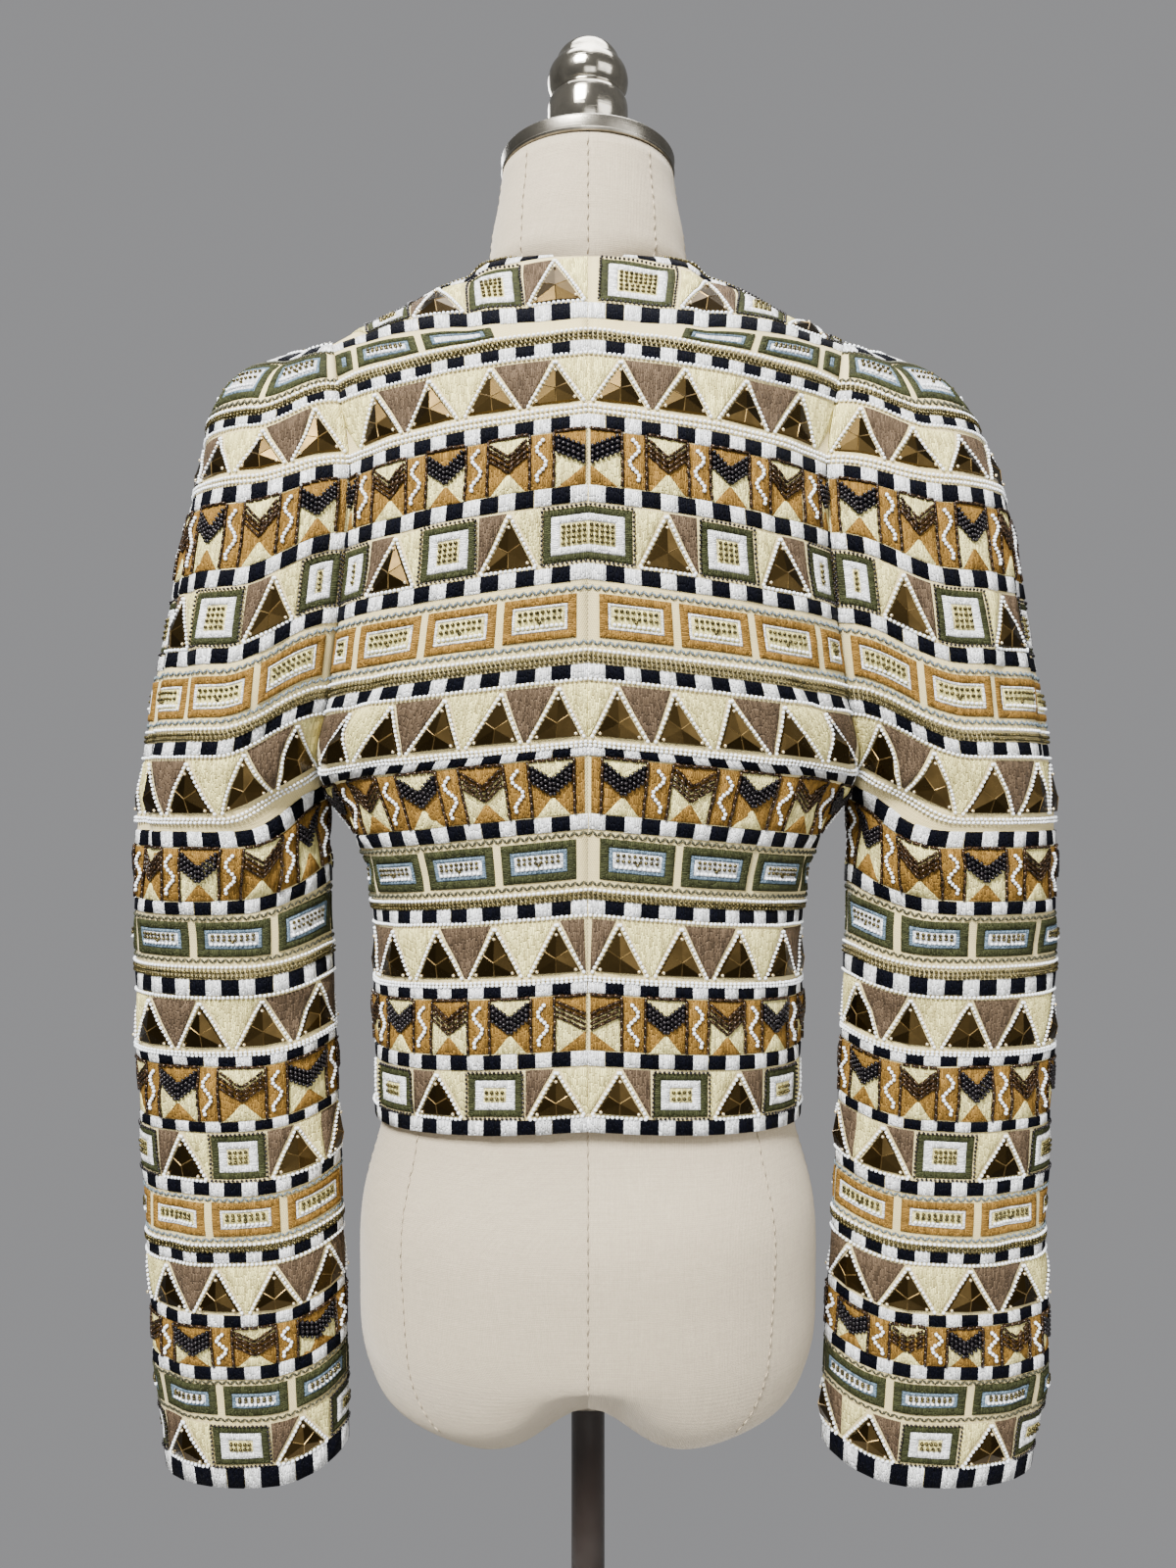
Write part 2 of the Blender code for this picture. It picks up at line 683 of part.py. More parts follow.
def turned(name, profile, finish):
    """A turned piece: its profile of radius and height spun round the upright axis, flat at both ends."""
    bm = bmesh.new()
    points = [(0.0, profile[0][1])] + list(profile) + [(0.0, profile[-1][1])]
    verts = [bm.verts.new((radius, 0.0, height)) for radius, height in points]
    edges = [bm.edges.new(pair) for pair in zip(verts, verts[1:])]
    bmesh.ops.spin(bm, geom=verts + edges, cent=(0, 0, 0), axis=(0, 0, 1), angle=2 * math.pi,
                   steps=TURNED_SEGMENTS, use_merge=True)
    bmesh.ops.remove_doubles(bm, verts=bm.verts, dist=1e-6)
    return object_from(bm, name, finish)


def neck_plate(finish):
    """The metal plate that closes the neck."""
    edge = 0.0015
    return turned("neck_plate", (
        (PLATE_RADIUS - edge, PLATE_BOTTOM),
        (PLATE_RADIUS, PLATE_BOTTOM + edge),
        (PLATE_RADIUS, PLATE_TOP - 2 * edge),
        (PLATE_RADIUS - 2 * edge, PLATE_TOP),
    ), finish)


def finial(finish):
    """The turned knob on the neck plate."""
    steps = [(radius, FINIAL_BOTTOM + height) for radius, height in FINIAL_PROFILE]
    steps.append((0.0035, FINIAL_TOP))
    return turned("finial", steps, finish)


def pole(finish):
    """The upright, from the base's boss to the underside of the form."""
    top = FORM_BOTTOM + FORM_NOTCH - SEAM_GAP
    bottom = BOSS_TOP + SEAM_GAP
    return turned("pole", ((POLE_RADIUS, bottom), (POLE_RADIUS, (bottom + top) / 2), (POLE_RADIUS, top)), finish)


def base(finish):
    """The weighted round foot with its boss."""
    return turned("base", (
        (BASE_RADIUS - 0.003, 0.0),
        (BASE_RADIUS, 0.003),
        (BASE_RADIUS, BASE_THICKNESS - 0.006),
        (BASE_RADIUS - 0.004, BASE_THICKNESS - 0.001),
        (BASE_RADIUS - 0.012, BASE_THICKNESS),
        (BOSS_RADIUS + 0.006, BASE_THICKNESS + 0.001),
        (BOSS_RADIUS, BASE_THICKNESS + 0.005),
        (BOSS_RADIUS - 0.004, BOSS_TOP - 0.003),
        (BOSS_RADIUS - 0.007, BOSS_TOP),
    ), finish)


def main():
    clear_scene()
    cloth = material("embroidered_twill", (0.62, 0.52, 0.37), 0.85)
    linen = material("linen_cover", (0.62, 0.56, 0.48), 0.9)
    nickel = material("nickel_plate", (0.55, 0.52, 0.46), 0.25, 1.0)
    lacquer = material("black_lacquer", (0.03, 0.022, 0.018), 0.3)
    torso_panel("back_left", BACK, -1, cloth)
    torso_panel("back_right", BACK, 1, cloth)
    torso_panel("front_left", FRONT, -1, cloth)
    torso_panel("front_right", FRONT, 1, cloth)
    sleeve("sleeve_left", -1, cloth)
    sleeve("sleeve_right", 1, cloth)
    form_body(linen)
    neck_plate(nickel)
    finial(nickel)
    pole(lacquer)
    base(lacquer)


main()
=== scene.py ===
"""Looks of the cropped beaded jacket on its dress form: cloth, embroidery, beads, studs and stand.

Metres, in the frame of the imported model: +Z up, the jacket's back towards -Y, +X on the right of it.
The embroidery is drawn in the bands of each panel. A place on a panel is a level, which rises band by
band, and a share of the way along the row at that level, from the centre seam or the inner seam.
"""

import math
from collections import namedtuple

import bmesh
import bpy
import numpy as np
from bpy.props import FloatProperty, FloatVectorProperty, IntProperty, PointerProperty
from mathutils import Matrix, Vector


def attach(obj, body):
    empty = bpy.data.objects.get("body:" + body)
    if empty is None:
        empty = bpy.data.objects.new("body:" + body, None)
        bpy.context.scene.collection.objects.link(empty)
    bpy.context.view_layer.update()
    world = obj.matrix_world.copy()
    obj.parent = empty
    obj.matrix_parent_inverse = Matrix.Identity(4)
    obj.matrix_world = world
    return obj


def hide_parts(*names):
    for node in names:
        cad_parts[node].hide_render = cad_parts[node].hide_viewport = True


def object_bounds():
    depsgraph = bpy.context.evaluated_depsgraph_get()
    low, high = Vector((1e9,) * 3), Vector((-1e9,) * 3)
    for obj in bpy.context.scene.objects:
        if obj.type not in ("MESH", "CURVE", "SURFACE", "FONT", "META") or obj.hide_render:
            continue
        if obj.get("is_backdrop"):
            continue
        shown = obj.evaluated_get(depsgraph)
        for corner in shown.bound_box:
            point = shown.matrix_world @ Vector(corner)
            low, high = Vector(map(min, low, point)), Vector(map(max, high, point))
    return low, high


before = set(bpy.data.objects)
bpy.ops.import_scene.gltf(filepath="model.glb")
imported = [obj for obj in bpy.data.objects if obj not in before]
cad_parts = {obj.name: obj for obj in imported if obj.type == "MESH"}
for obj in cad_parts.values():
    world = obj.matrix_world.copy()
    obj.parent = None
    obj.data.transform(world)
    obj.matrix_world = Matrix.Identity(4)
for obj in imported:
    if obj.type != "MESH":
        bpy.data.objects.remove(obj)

bl_info = {
    "name": "Beaded jacket on a dress form",
    "version": (1, 0, 0),
    "blender": (4, 5, 0),
    "location": "View3D > Sidebar > Jacket",
    "description": "Builds the cloth, embroidery, beads, dress form and stand round the packed model",
    "category": "Object",
}

BODY = "root"
PHOTO_HEIGHT = 1600

# Jacket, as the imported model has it
BACK = -1
FRONT = 1
HEM_HEIGHT = 0.890
UNDERARM_ROW = 1.0959
CAP_ROW = 1.300
TOP_ROW = 1.377
NECK_SIDE = (0.068, 0.0, 1.387)
SHOULDER_TIP = (0.158, 0.0, 1.348)
NAPE_DEPTH = 0.064
THROAT_DEPTH = 0.086
THROAT_HEIGHT = 1.313
FRONT_RISE = 0.917
FRONT_HEM = 0.885
ARMHOLE_LOW = 1.081
ARMHOLE_HALF_HEIGHT = 0.1335
ARMHOLE_HALF_DEPTH = 0.058
ARMHOLE_WIDE_X = 0.1595
STUD_PITCH = 0.0345
HALF_PITCH = STUD_PITCH / 2
STUD_MARGIN = 0.0036
STUD_RIM = 0.0011
STUD_PEAK = 0.0014

TorsoRow = namedtuple("TorsoRow", "centre side half back front round")
TORSO_ROWS = (
    TorsoRow(0.8900, 0.8810, 0.1290, 0.0820, 0.0940, 0.44),
    TorsoRow(0.9500, 0.9400, 0.1300, 0.0830, 0.0950, 0.44),
    TorsoRow(1.0160, 1.0040, 0.1305, 0.0840, 0.0975, 0.44),
    TorsoRow(1.0450, 1.0310, 0.1350, 0.0865, 0.1020, 0.44),
    TorsoRow(1.0750, 1.0600, 0.1480, 0.0900, 0.1080, 0.44),
    TorsoRow(UNDERARM_ROW, ARMHOLE_LOW, ARMHOLE_WIDE_X, 0.0925, 0.1110, 0.46),
    TorsoRow(1.1500, 1.1345, 0.1480, 0.0980, 0.1130, 0.60),
    TorsoRow(1.2000, 1.1830, 0.1410, 0.1005, 0.1100, 0.72),
    TorsoRow(1.2826, 1.2675, 0.1365, 0.0980, 0.0990, 0.85),
    TorsoRow(CAP_ROW, 1.2845, 0.1390, 0.0940, 0.0950, 0.85),
    TorsoRow(TOP_ROW, 1.3480, 0.1580, 0.0640, 0.0860, 0.85),
)

SleeveRow = namedtuple("SleeveRow", "row height left_out left_in right_out right_in depth")
CUFF_HEIGHT = 0.6640
SLEEVE_SHIFT = 0.0434
SLEEVE_ROWS = (
    SleeveRow(CUFF_HEIGHT + SLEEVE_SHIFT, CUFF_HEIGHT, 0.2588, 0.1485, 0.2725, 0.1450, 0.0310),
    SleeveRow(0.720 + SLEEVE_SHIFT, 0.720, 0.2655, 0.1495, 0.2825, 0.1465, 0.0335),
    SleeveRow(0.800 + SLEEVE_SHIFT, 0.800, 0.2705, 0.1520, 0.2810, 0.1515, 0.0350),
    SleeveRow(0.900 + SLEEVE_SHIFT, 0.900, 0.2758, 0.1560, 0.2848, 0.1565, 0.0375),
    SleeveRow(0.980 + SLEEVE_SHIFT, 0.980, 0.2770, 0.1590, 0.2862, 0.1600, 0.0440),
    SleeveRow(UNDERARM_ROW, 1.0525, 0.2745, 0.1595, 0.2842, 0.1595, 0.0540),
    SleeveRow(1.1353, 1.0944, 0.2705, 0.1500, 0.2815, 0.1500, 0.0460),
    SleeveRow(1.1970, 1.1560, 0.2605, 0.1410, 0.2720, 0.1410, 0.0380),
    SleeveRow(1.2384, 1.2007, 0.2515, 0.1370, 0.2640, 0.1370, 0.0350),
    SleeveRow(1.2826, 1.2550, 0.2390, 0.1365, 0.2540, 0.1365, 0.0330),
    SleeveRow(1.3176, 1.2840, 0.2335, 0.1420, 0.2425, 0.1420, 0.0300),
    SleeveRow(1.3270, 1.2976, 0.2315, 0.1450, 0.2365, 0.1450, 0.0280),
    SleeveRow(1.3420, 1.3180, 0.2225, 0.1490, 0.2230, 0.1490, 0.0240),
    SleeveRow(1.3580, 1.3330, 0.2050, 0.1540, 0.2010, 0.1540, 0.0170),
    SleeveRow(1.3660, 1.3405, 0.1850, 0.1560, 0.1830, 0.1560, 0.0120),
    SleeveRow(TOP_ROW, 1.3480, 0.1580, 0.1580, 0.1580, 0.1580, 0.0000),
)
CUFF_RISE = 0.012
ELBOW_RISE = 0.009

Fold = namedtuple("Fold", "around half_width depth low high")
LEFT_FOLDS = (
    Fold(0.39, 0.045, 0.0050, 0.98, 1.24),
    Fold(0.10, 0.050, 0.0040, 1.07, 1.17),
    Fold(0.24, 0.060, -0.0020, 0.80, 0.94),
)
RIGHT_FOLDS = (
    Fold(0.40, 0.050, 0.0040, 1.02, 1.26),
    Fold(0.10, 0.050, 0.0040, 1.07, 1.17),
    Fold(0.27, 0.060, -0.0020, 0.76, 0.92),
)

# Creases pressed into the cloth: share along the row, level, slope of the crease in degrees,
# half length and half width in metres, depth
Crease = namedtuple("Crease", "share level slope half_length half_width depth")
TORSO_CREASES = (
    Crease(0.86, 1.120, 128, 0.055, 0.0080, 0.0030),
    Crease(0.78, 1.080, 150, 0.050, 0.0080, 0.0022),
    Crease(0.90, 1.040, 165, 0.045, 0.0070, 0.0014),
    Crease(0.55, 1.016, 176, 0.060, 0.0085, 0.0010),
    Crease(0.35, 1.210, 12, 0.050, 0.0090, 0.0009),
    Crease(0.72, 1.235, 70, 0.045, 0.0080, 0.0012),
    Crease(0.12, 0.955, 84, 0.035, 0.0080, 0.0008),
)
SLEEVE_CREASES = (
    Crease(0.06, 1.085, 40, 0.055, 0.0085, 0.0038),
    Crease(0.14, 1.050, 25, 0.050, 0.0080, 0.0030),
    Crease(0.92, 1.080, 140, 0.050, 0.0080, 0.0030),
    Crease(0.84, 1.045, 155, 0.045, 0.0075, 0.0022),
    Crease(0.12, 0.985, 12, 0.045, 0.0085, 0.0028),
    Crease(0.30, 0.955, 168, 0.045, 0.0080, 0.0016),
    Crease(0.72, 0.965, 14, 0.045, 0.0080, 0.0018),
    Crease(0.10, 0.905, 165, 0.040, 0.0080, 0.0020),
    Crease(0.36, 0.860, 100, 0.050, 0.0080, 0.0012),
    Crease(0.62, 0.870, 20, 0.045, 0.0085, 0.0016),
    Crease(0.16, 0.790, 70, 0.045, 0.0080, 0.0014),
    Crease(0.40, 0.760, 95, 0.040, 0.0080, 0.0012),
    Crease(0.80, 0.780, 110, 0.045, 0.0080, 0.0014),
    Crease(0.30, 1.190, 80, 0.055, 0.0085, 0.0026),
    Crease(0.66, 1.180, 95, 0.050, 0.0080, 0.0018),
)
PUCKER = 0.0004

# Bands of embroidery from the hem or cuff up: lower and upper level, the work in it and its variant
Band = namedtuple("Band", "low high work variant", defaults=("",))
SHARED_BANDS = (
    Band(1.0959, 1.0999, "checks"),
    Band(1.0999, 1.1038, "double"),
    Band(1.1038, 1.1353, "points", "cream"),
    Band(1.1353, 1.1374, "single"),
    Band(1.1376, 1.1440, "checks"),
    Band(1.1443, 1.1530, "gold"),
    Band(1.1533, 1.1870, "rectangles", "ochre"),
    Band(1.1893, 1.1966, "checks"),
    Band(1.1970, 1.2296, "squares"),
    Band(1.2304, 1.2380, "checks"),
    Band(1.2384, 1.2690, "chevrons", "dark cell"),
    Band(1.2694, 1.2764, "checks"),
    Band(1.2767, 1.2826, "double"),
    Band(1.2826, 1.3106, "points", "cream"),
)
TORSO_BANDS = (
    Band(0.8903, 0.8978, "checks"),
    Band(0.8981, 0.9264, "hem"),
    Band(0.9270, 0.9341, "checks"),
    Band(0.9345, 0.9662, "chevrons", "bugle cell"),
    Band(0.9666, 0.9722, "checks"),
    Band(0.9722, 0.9758, "double"),
    Band(0.9758, 1.0079, "points", "taupe"),
    Band(1.0079, 1.0100, "single"),
    Band(1.0102, 1.0168, "checks"),
    Band(1.0171, 1.0240, "gold"),
    Band(1.0240, 1.0560, "rectangles", "olive"),
    Band(1.0564, 1.0636, "checks"),
    Band(1.0640, 1.0955, "chevrons", "strip"),
) + SHARED_BANDS + (
    Band(1.3106, 1.3124, "single"),
    Band(1.3126, 1.3190, "checks"),
    Band(1.3193, 1.3265, "gold"),
    Band(1.3265, 1.3311, "rectangles", "olive"),
    Band(1.3335, 1.3420, "checks"),
    Band(1.3425, 1.3764, "hem"),
    Band(1.3796, 1.3860, "checks"),
    Band(1.3866, 1.3960, "gold"),
    Band(1.3964, 1.4030, "checks"),
    Band(1.4036, 1.4290, "points", "cream"),
)
# Lines that fan out from the neck: level at the centre back, level on the sleeve, and how far up the
# armhole from FAN_ROW they meet it
FAN_ROW = 1.2826
FanLine = namedtuple("FanLine", "centre sleeve run")
FAN_LINES = (
    FanLine(1.2826, 1.2826, 0.0),
    FanLine(1.3106, 1.3176, 0.0320),
    FanLine(1.3265, 1.3270, 0.0445),
    FanLine(1.3311, 1.3580, 0.0735),
    FanLine(1.3425, 1.3660, 0.0835),
    FanLine(1.3770, 1.3770, 0.1200),
    FanLine(1.4000, 1.4000, 0.1430),
    FanLine(1.4300, 1.4300, 0.1730),
)
FAN_TOP = 1.4300
FAN_BEND = 1.7
SLEEVE_LOW_BANDS = (
    Band(0.6643, 0.6752, "checks"),
    Band(0.6758, 0.7030, "squares"),
    Band(0.7034, 0.7292, "rectangles", "olive"),
    Band(0.7294, 0.7360, "checks"),
    Band(0.7363, 0.7607, "chevrons", "closed"),
    Band(0.7611, 0.7670, "checks"),
    Band(0.7672, 0.7965, "points", "cream"),
    Band(0.7965, 0.7984, "single"),
    Band(0.7986, 0.8043, "checks"),
    Band(0.8045, 0.8103, "gold"),
    Band(0.8103, 0.8385, "rectangles", "ochre"),
    Band(0.8389, 0.8457, "checks"),
    Band(0.8460, 0.8759, "squares"),
    Band(0.8763, 0.8815, "checks"),
    Band(0.8818, 0.9145, "chevrons", "closed"),
    Band(0.9149, 0.9201, "checks"),
    Band(0.9201, 0.9236, "double"),
    Band(0.9236, 0.9552, "points", "cream"),
    Band(0.9552, 0.9572, "single"),
    Band(0.9576, 0.9658, "checks"),
    Band(0.9661, 0.9752, "gold"),
    Band(0.9754, 1.0045, "rectangles", "olive"),
    Band(1.0052, 1.0118, "checks"),
    Band(1.0122, 1.0440, "chevrons", "closed"),
    Band(1.0446, 1.0520, "checks"),
)
SLEEVE_TOP_BANDS = (
    Band(1.3176, 1.3194, "single"),
    Band(1.3196, 1.3230, "checks"),
    Band(1.3232, 1.3270, "gold"),
    Band(1.3270, 1.3580, "rectangles", "olive"),
    Band(1.3584, 1.3650, "checks"),
    Band(1.3652, 1.3666, "double"),
    Band(1.3669, 1.3694, "gold"),
    Band(1.3697, 1.3716, "checks"),
)

# Dress form and stand
FormRow = namedtuple("FormRow", "height half back front power")
FORM_ROWS = (
    FormRow(0.7020, 0.1060, 0.0640, 0.0620, 2.5),
    FormRow(0.7180, 0.1240, 0.0790, 0.0740, 2.5),
    FormRow(0.7420, 0.1350, 0.0890, 0.0830, 2.4),
    FormRow(0.7900, 0.1388, 0.0950, 0.0880, 2.3),
    FormRow(0.8300, 0.1375, 0.0940, 0.0880, 2.3),
    FormRow(0.8750, 0.1265, 0.0770, 0.0850, 2.3),
    FormRow(0.9300, 0.1170, 0.0690, 0.0820, 2.2),
    FormRow(1.0000, 0.1110, 0.0660, 0.0800, 2.2),
    FormRow(1.0600, 0.1180, 0.0720, 0.0880, 2.2),
    FormRow(1.1200, 0.1280, 0.0800, 0.0980, 2.2),
    FormRow(1.1800, 0.1270, 0.0870, 0.0980, 2.2),
    FormRow(1.2400, 0.1260, 0.0900, 0.0900, 2.1),
    FormRow(1.2900, 0.1290, 0.0830, 0.0790, 2.0),
    FormRow(1.3250, 0.1360, 0.0720, 0.0670, 1.8),
    FormRow(1.3420, 0.1400, 0.0650, 0.0580, 1.55),
    FormRow(1.3578, 0.1280, 0.0570, 0.0480, 1.35),
    FormRow(1.3682, 0.1040, 0.0530, 0.0450, 1.35),
    FormRow(1.3777, 0.0820, 0.0470, 0.0410, 1.35),
    FormRow(1.3830, 0.0650, 0.0500, 0.0470, 1.5),
    FormRow(1.3915, 0.0620, 0.0525, 0.0505, 2.0),
    FormRow(1.4020, 0.0605, 0.0530, 0.0520, 2.0),
    FormRow(1.4170, 0.0590, 0.0535, 0.0525, 2.0),
    FormRow(1.4340, 0.0555, 0.0530, 0.0525, 2.0),
    FormRow(1.4537, 0.0530, 0.0520, 0.0520, 2.0),
)
FORM_BOTTOM = 0.6880
FORM_NOTCH = 0.030
FORM_NOTCH_HALF = 0.034
SEAT_RADIUS = 0.0135
PLATE_RADIUS = 0.0535
PLATE_BOTTOM = 1.4540
PLATE_TOP = 1.4640
FINIAL_BOTTOM = 1.4643
POLE_RADIUS = 0.0103
POLE_BOTTOM = 0.0343
POLE_TOP = 0.7177
BASE_RADIUS = 0.170
BASE_THICKNESS = 0.016
BOSS_RADIUS = 0.024
BOSS_TOP = 0.034
TURNED_STEPS = 80

# Area lamps: name, place, size and power
LAMPS = (
    ("key", (-0.7, -1.7, 2.7), 0.8, 275.0),
    ("fill", (1.6, -1.5, 1.5), 1.4, 26.0),
    ("low", (0.2, -1.9, 0.6), 1.0, 12.0),
    ("top", (0.1, 0.1, 2.9), 1.2, 50.0),
    ("rear", (-0.6, 2.2, 2.0), 1.6, 90.0),
)

THREADS = ("cream", "taupe", "ochre", "olive", "white", "navy", "blue")
BEADS = ("white bead", "gold bead", "dark bead", "bugle", "sewing bead", "grey stitch", "olive stitch")
TINY = 1e-6

# A laid thread in the thread material
THREAD_WIDTH = 0.0009
STITCH_LENGTH = 0.0052

# How far the cloth lies under the surface that carries the needlework
UNDER = 0.00035

# Chart of the fanned bands: points along an armhole or across a panel, and metres from step to step
FAN_POINTS = 90
FAN_COLUMNS = 60
FAN_STEP = 0.001
FAN_STEPS = 150
CHART_POINTS = 241

# Satin stitch: rise of flat and of triangular patches, how far the edges go in, the width of an edge,
# the least patch, and the size and most of the faces across and up
FLAT_RISE = 0.0004
TRIANGLE_RISE = 0.00055
SINK = 0.00015
PATCH_EDGE = 0.0006
LEAST_PATCH = 5e-4
LEAST_FACE = 2e-9
LEAST_HEIGHT = 1e-4
STEP_ACROSS, MOST_ACROSS = 0.0055, 9
STEP_UP, MOST_UP = 0.0065, 6

# Strings: steps that follow the cloth, share of a step that shows a bead's direction, and
# unevenness of directions and of places
STRING_STEP = 0.0012
LOOK = 0.3
TWIST = 0.05
WOBBLE = 0.00012

# Zigzags: lift, half length as a share of the stitch, half width, and their places in a band
STITCH_LIFT = 0.00040
STITCH_HALF = 0.58
STITCH_HALF_WIDTH = 0.00085
ZIGZAG_LEAST = 0.015
ZIGZAG_ROWS = (0.070, 0.925)
ZIGZAG_SWING = 0.044
ZIGZAG_TOOTH = 0.0024

# Checks: thread, how much wider than its share and rise, for white and for navy, and how uneven they are
CHECKS = (("white", -0.0002, 0.0011), ("navy", 0.0004, 0.0012))
CHECK_SLACK = 0.0003
CHECK_LOW = (-0.12, -0.05)
CHECK_HIGH = (1.05, 1.12)

# Studs: least height of their band, overrun at a seam, margins of the beads round them and of their
# facets and foot, lifts of corners, middles, peak and foot, the beads that hold them, and their ridges
STUD_LEAST = 0.012
STUD_OVERRUN = 0.004
STUD_OUTLINE = 0.0010
STUD_INNER = STUD_MARGIN - 0.0008
STUD_FOOT = STUD_MARGIN - 0.0013
STUD_LIFTS = np.repeat([STUD_RIM, STUD_RIM + 0.00035, STUD_RIM + STUD_PEAK + 0.0006, -0.0002],
                       [3, 3, 1, 6])
SEWING_SHARE = 0.84
SEWING_LIFT = STUD_RIM + 0.0008
RIDGE_HALF = 0.00032
RIDGE_HEIGHT = 0.00035
STUD_FACES = np.array([
    [6, 0, 3], [6, 3, 1], [6, 1, 4], [6, 4, 2], [6, 2, 5], [6, 5, 0],
    [0, 7, 10], [0, 10, 3], [3, 10, 8], [3, 8, 1], [1, 8, 11], [1, 11, 4],
    [4, 11, 9], [4, 9, 2], [2, 9, 12], [2, 12, 5], [5, 12, 7], [5, 7, 0],
])
RIDGE_FACES = np.array([[0, 2, 5], [0, 5, 3], [2, 1, 4], [2, 4, 5], [3, 5, 4]])

# Squares: least height of their band, gap round them, bars of the olive frame and of the white one
# along the band and up it, and height of a row of gold beads
SQUARE_LEAST = 0.010
SQUARE_GAP = 0.0016
OLIVE_BAR, OLIVE_BAR_UP = 0.0042, 0.0038
WHITE_BAR, WHITE_BAR_UP = 0.0050, 0.0042
GOLD_ROW = 0.0033

# Rectangles: width, pitch and start from the centre seam, gap and start on a sleeve, bars of the frame,
# least width and height of one and of its inside, heights in a tall and in a low band, and unevenness
RECTANGLE_WIDTH, RECTANGLE_PITCH, RECTANGLE_START = 0.0405, 0.0447, 0.0062
RECTANGLE_GAP, RING_START = 0.0045, 0.0022
FRAME_BAR, FRAME_BAR_UP = 0.0050, 0.0046
LEAST_WIDTH, LEAST_TALL, LEAST_ROOM = 0.012, 0.009, 0.004
TALL_BAND = 0.02
TALL_HEIGHTS, LOW_HEIGHTS = (0.150, 0.850), (0.1, 0.9)
RECTANGLE_SLACK = 0.012
Rectangle = namedtuple("Rectangle", "lining line ground zigzag")
RECTANGLES = {
    "olive": Rectangle("blue", 0.0021, "white", "olive stitch"),
    "ochre": Rectangle("white", 0.0015, "cream", "grey stitch"),
}

# Chevrons: width of a cell and of the panel between two, heights of the panel, gaps at a seam, at a
# cell and at a panel, the least cell, and a row of beads in a V
CELL = 0.0222
PANEL = 0.0130
PANEL_HEIGHTS = (0.02, 0.98)
SEAM_GAP = 0.0006
CELL_GAP = 0.0005
PANEL_INSET = 0.0004
LEAST_CELL = 0.006
CHEVRON_ROW = 0.0028

# Beside the centre seam: a strip of thread, its line of bugles and the first cell after it, or else
# half a cell and the first panel after it
SEAM_STRIP = (0.0016, 0.0068)
STRIP_LINE = 0.0070
AFTER_STRIP = 0.0074
HALF_CELL = (0.0012, 0.0178)
AFTER_HALF_CELL = 0.0183


def colour_setting(name, description, default):
    """A colour that a user would change."""
    return FloatVectorProperty(name=name, description=description, subtype="COLOR", default=default)


def length_setting(name, description, default):
    """A length that a user would change."""
    return FloatProperty(name=name, description=description, default=default, unit="LENGTH")


class JacketCloth(bpy.types.PropertyGroup):
    """Colours and thickness of the cloth and its threads."""

    wall: length_setting("Wall", "Thickness of the cloth", 0.0014)
    ground: colour_setting("Ground", "Cream twill", (0.56, 0.46, 0.215))
    cream: colour_setting("Cream", "Cream thread", (0.84, 0.71, 0.29))
    taupe: colour_setting("Taupe", "Taupe thread", (0.102, 0.069, 0.042))
    ochre: colour_setting("Ochre", "Ochre thread", (0.235, 0.126, 0.026))
    olive: colour_setting("Olive", "Olive thread", (0.038, 0.041, 0.017))
    white: colour_setting("White", "White thread", (0.93, 0.93, 0.90))
    navy: colour_setting("Navy", "Navy thread", (0.0010, 0.0013, 0.0040))
    blue: colour_setting("Blue", "Light blue thread", (0.14, 0.20, 0.26))


class JacketBeads(bpy.types.PropertyGroup):
    """Sizes of beads and checks, and the colour of studs."""

    white_length: length_setting("White length", "Length of a white bead", 0.0025)
    white_width: length_setting("White width", "Width of a white bead", 0.0021)
    gold_length: length_setting("Gold length", "Length of a gold bead", 0.0025)
    bugle_length: length_setting("Bugle length", "Length of a dark bugle", 0.0044)
    check_width: length_setting("Check width", "Width of a check", 0.0097)
    stud: colour_setting("Stud", "Bronze of the studs", (0.050, 0.032, 0.011))


class JacketStand(bpy.types.PropertyGroup):
    """Finish of the dress form and its stand."""

    linen: colour_setting("Linen", "Linen cover", (0.43, 0.355, 0.245))
    nickel: colour_setting("Plate", "Plated metal", (0.52, 0.48, 0.40))
    lacquer: colour_setting("Lacquer", "Pole and foot", (0.020, 0.013, 0.010))
    rings: IntProperty(name="Rings", description="Rows of faces on the dress form", default=150)


class JacketStage(bpy.types.PropertyGroup):
    """Camera, light and floor."""

    distance: length_setting("Distance", "Camera from the jacket's middle plane", 0.70)
    eye: length_setting("Eye level", "Height of the camera", 1.08)
    focal_pixels: FloatProperty(name="Focal length", description="In pixels of the photograph",
                                default=1155.0)
    floor_radius: length_setting("Floor", "Radius of the pale floor", 0.76)
    grey: FloatProperty(name="Backdrop", description="Grey of the room", default=0.30)
    room_light: FloatProperty(name="Room light", description="Light that the room sends back", default=0.22)

# Curves and surfaces


# Roundness of the armhole's loop and of level sections
ARMHOLE_POWER = 2.2
SECTION_POWER = 2.2


def smooth_curve(xs, ys, at):
    """Reads a smooth curve through points."""
    xs = np.asarray(xs, float)
    ys = np.asarray(ys, float)
    slopes = np.gradient(ys, xs)
    at = np.clip(at, xs[0], xs[-1])
    i = np.clip(np.searchsorted(xs, at, side="right") - 1, 0, len(xs) - 2)
    width = xs[i + 1] - xs[i]
    share = (at - xs[i]) / width
    rise = share * share * (3 - 2 * share)
    leaving = share * (1 - share) ** 2 * slopes[i]
    arriving = -share * share * (1 - share) * slopes[i + 1]
    return ys[i] + (ys[i + 1] - ys[i]) * rise + width * (leaving + arriving)


def column(rows, key, name, at):
    """A column of a table read at levels."""
    return smooth_curve([getattr(row, key) for row in rows], [getattr(row, name) for row in rows], at)


def smoothstep(low, high, value):
    """Rises smoothly from 0 to 1 between two values."""
    share = np.clip((value - low) / (high - low), 0.0, 1.0)
    return share * share * (3 - 2 * share)


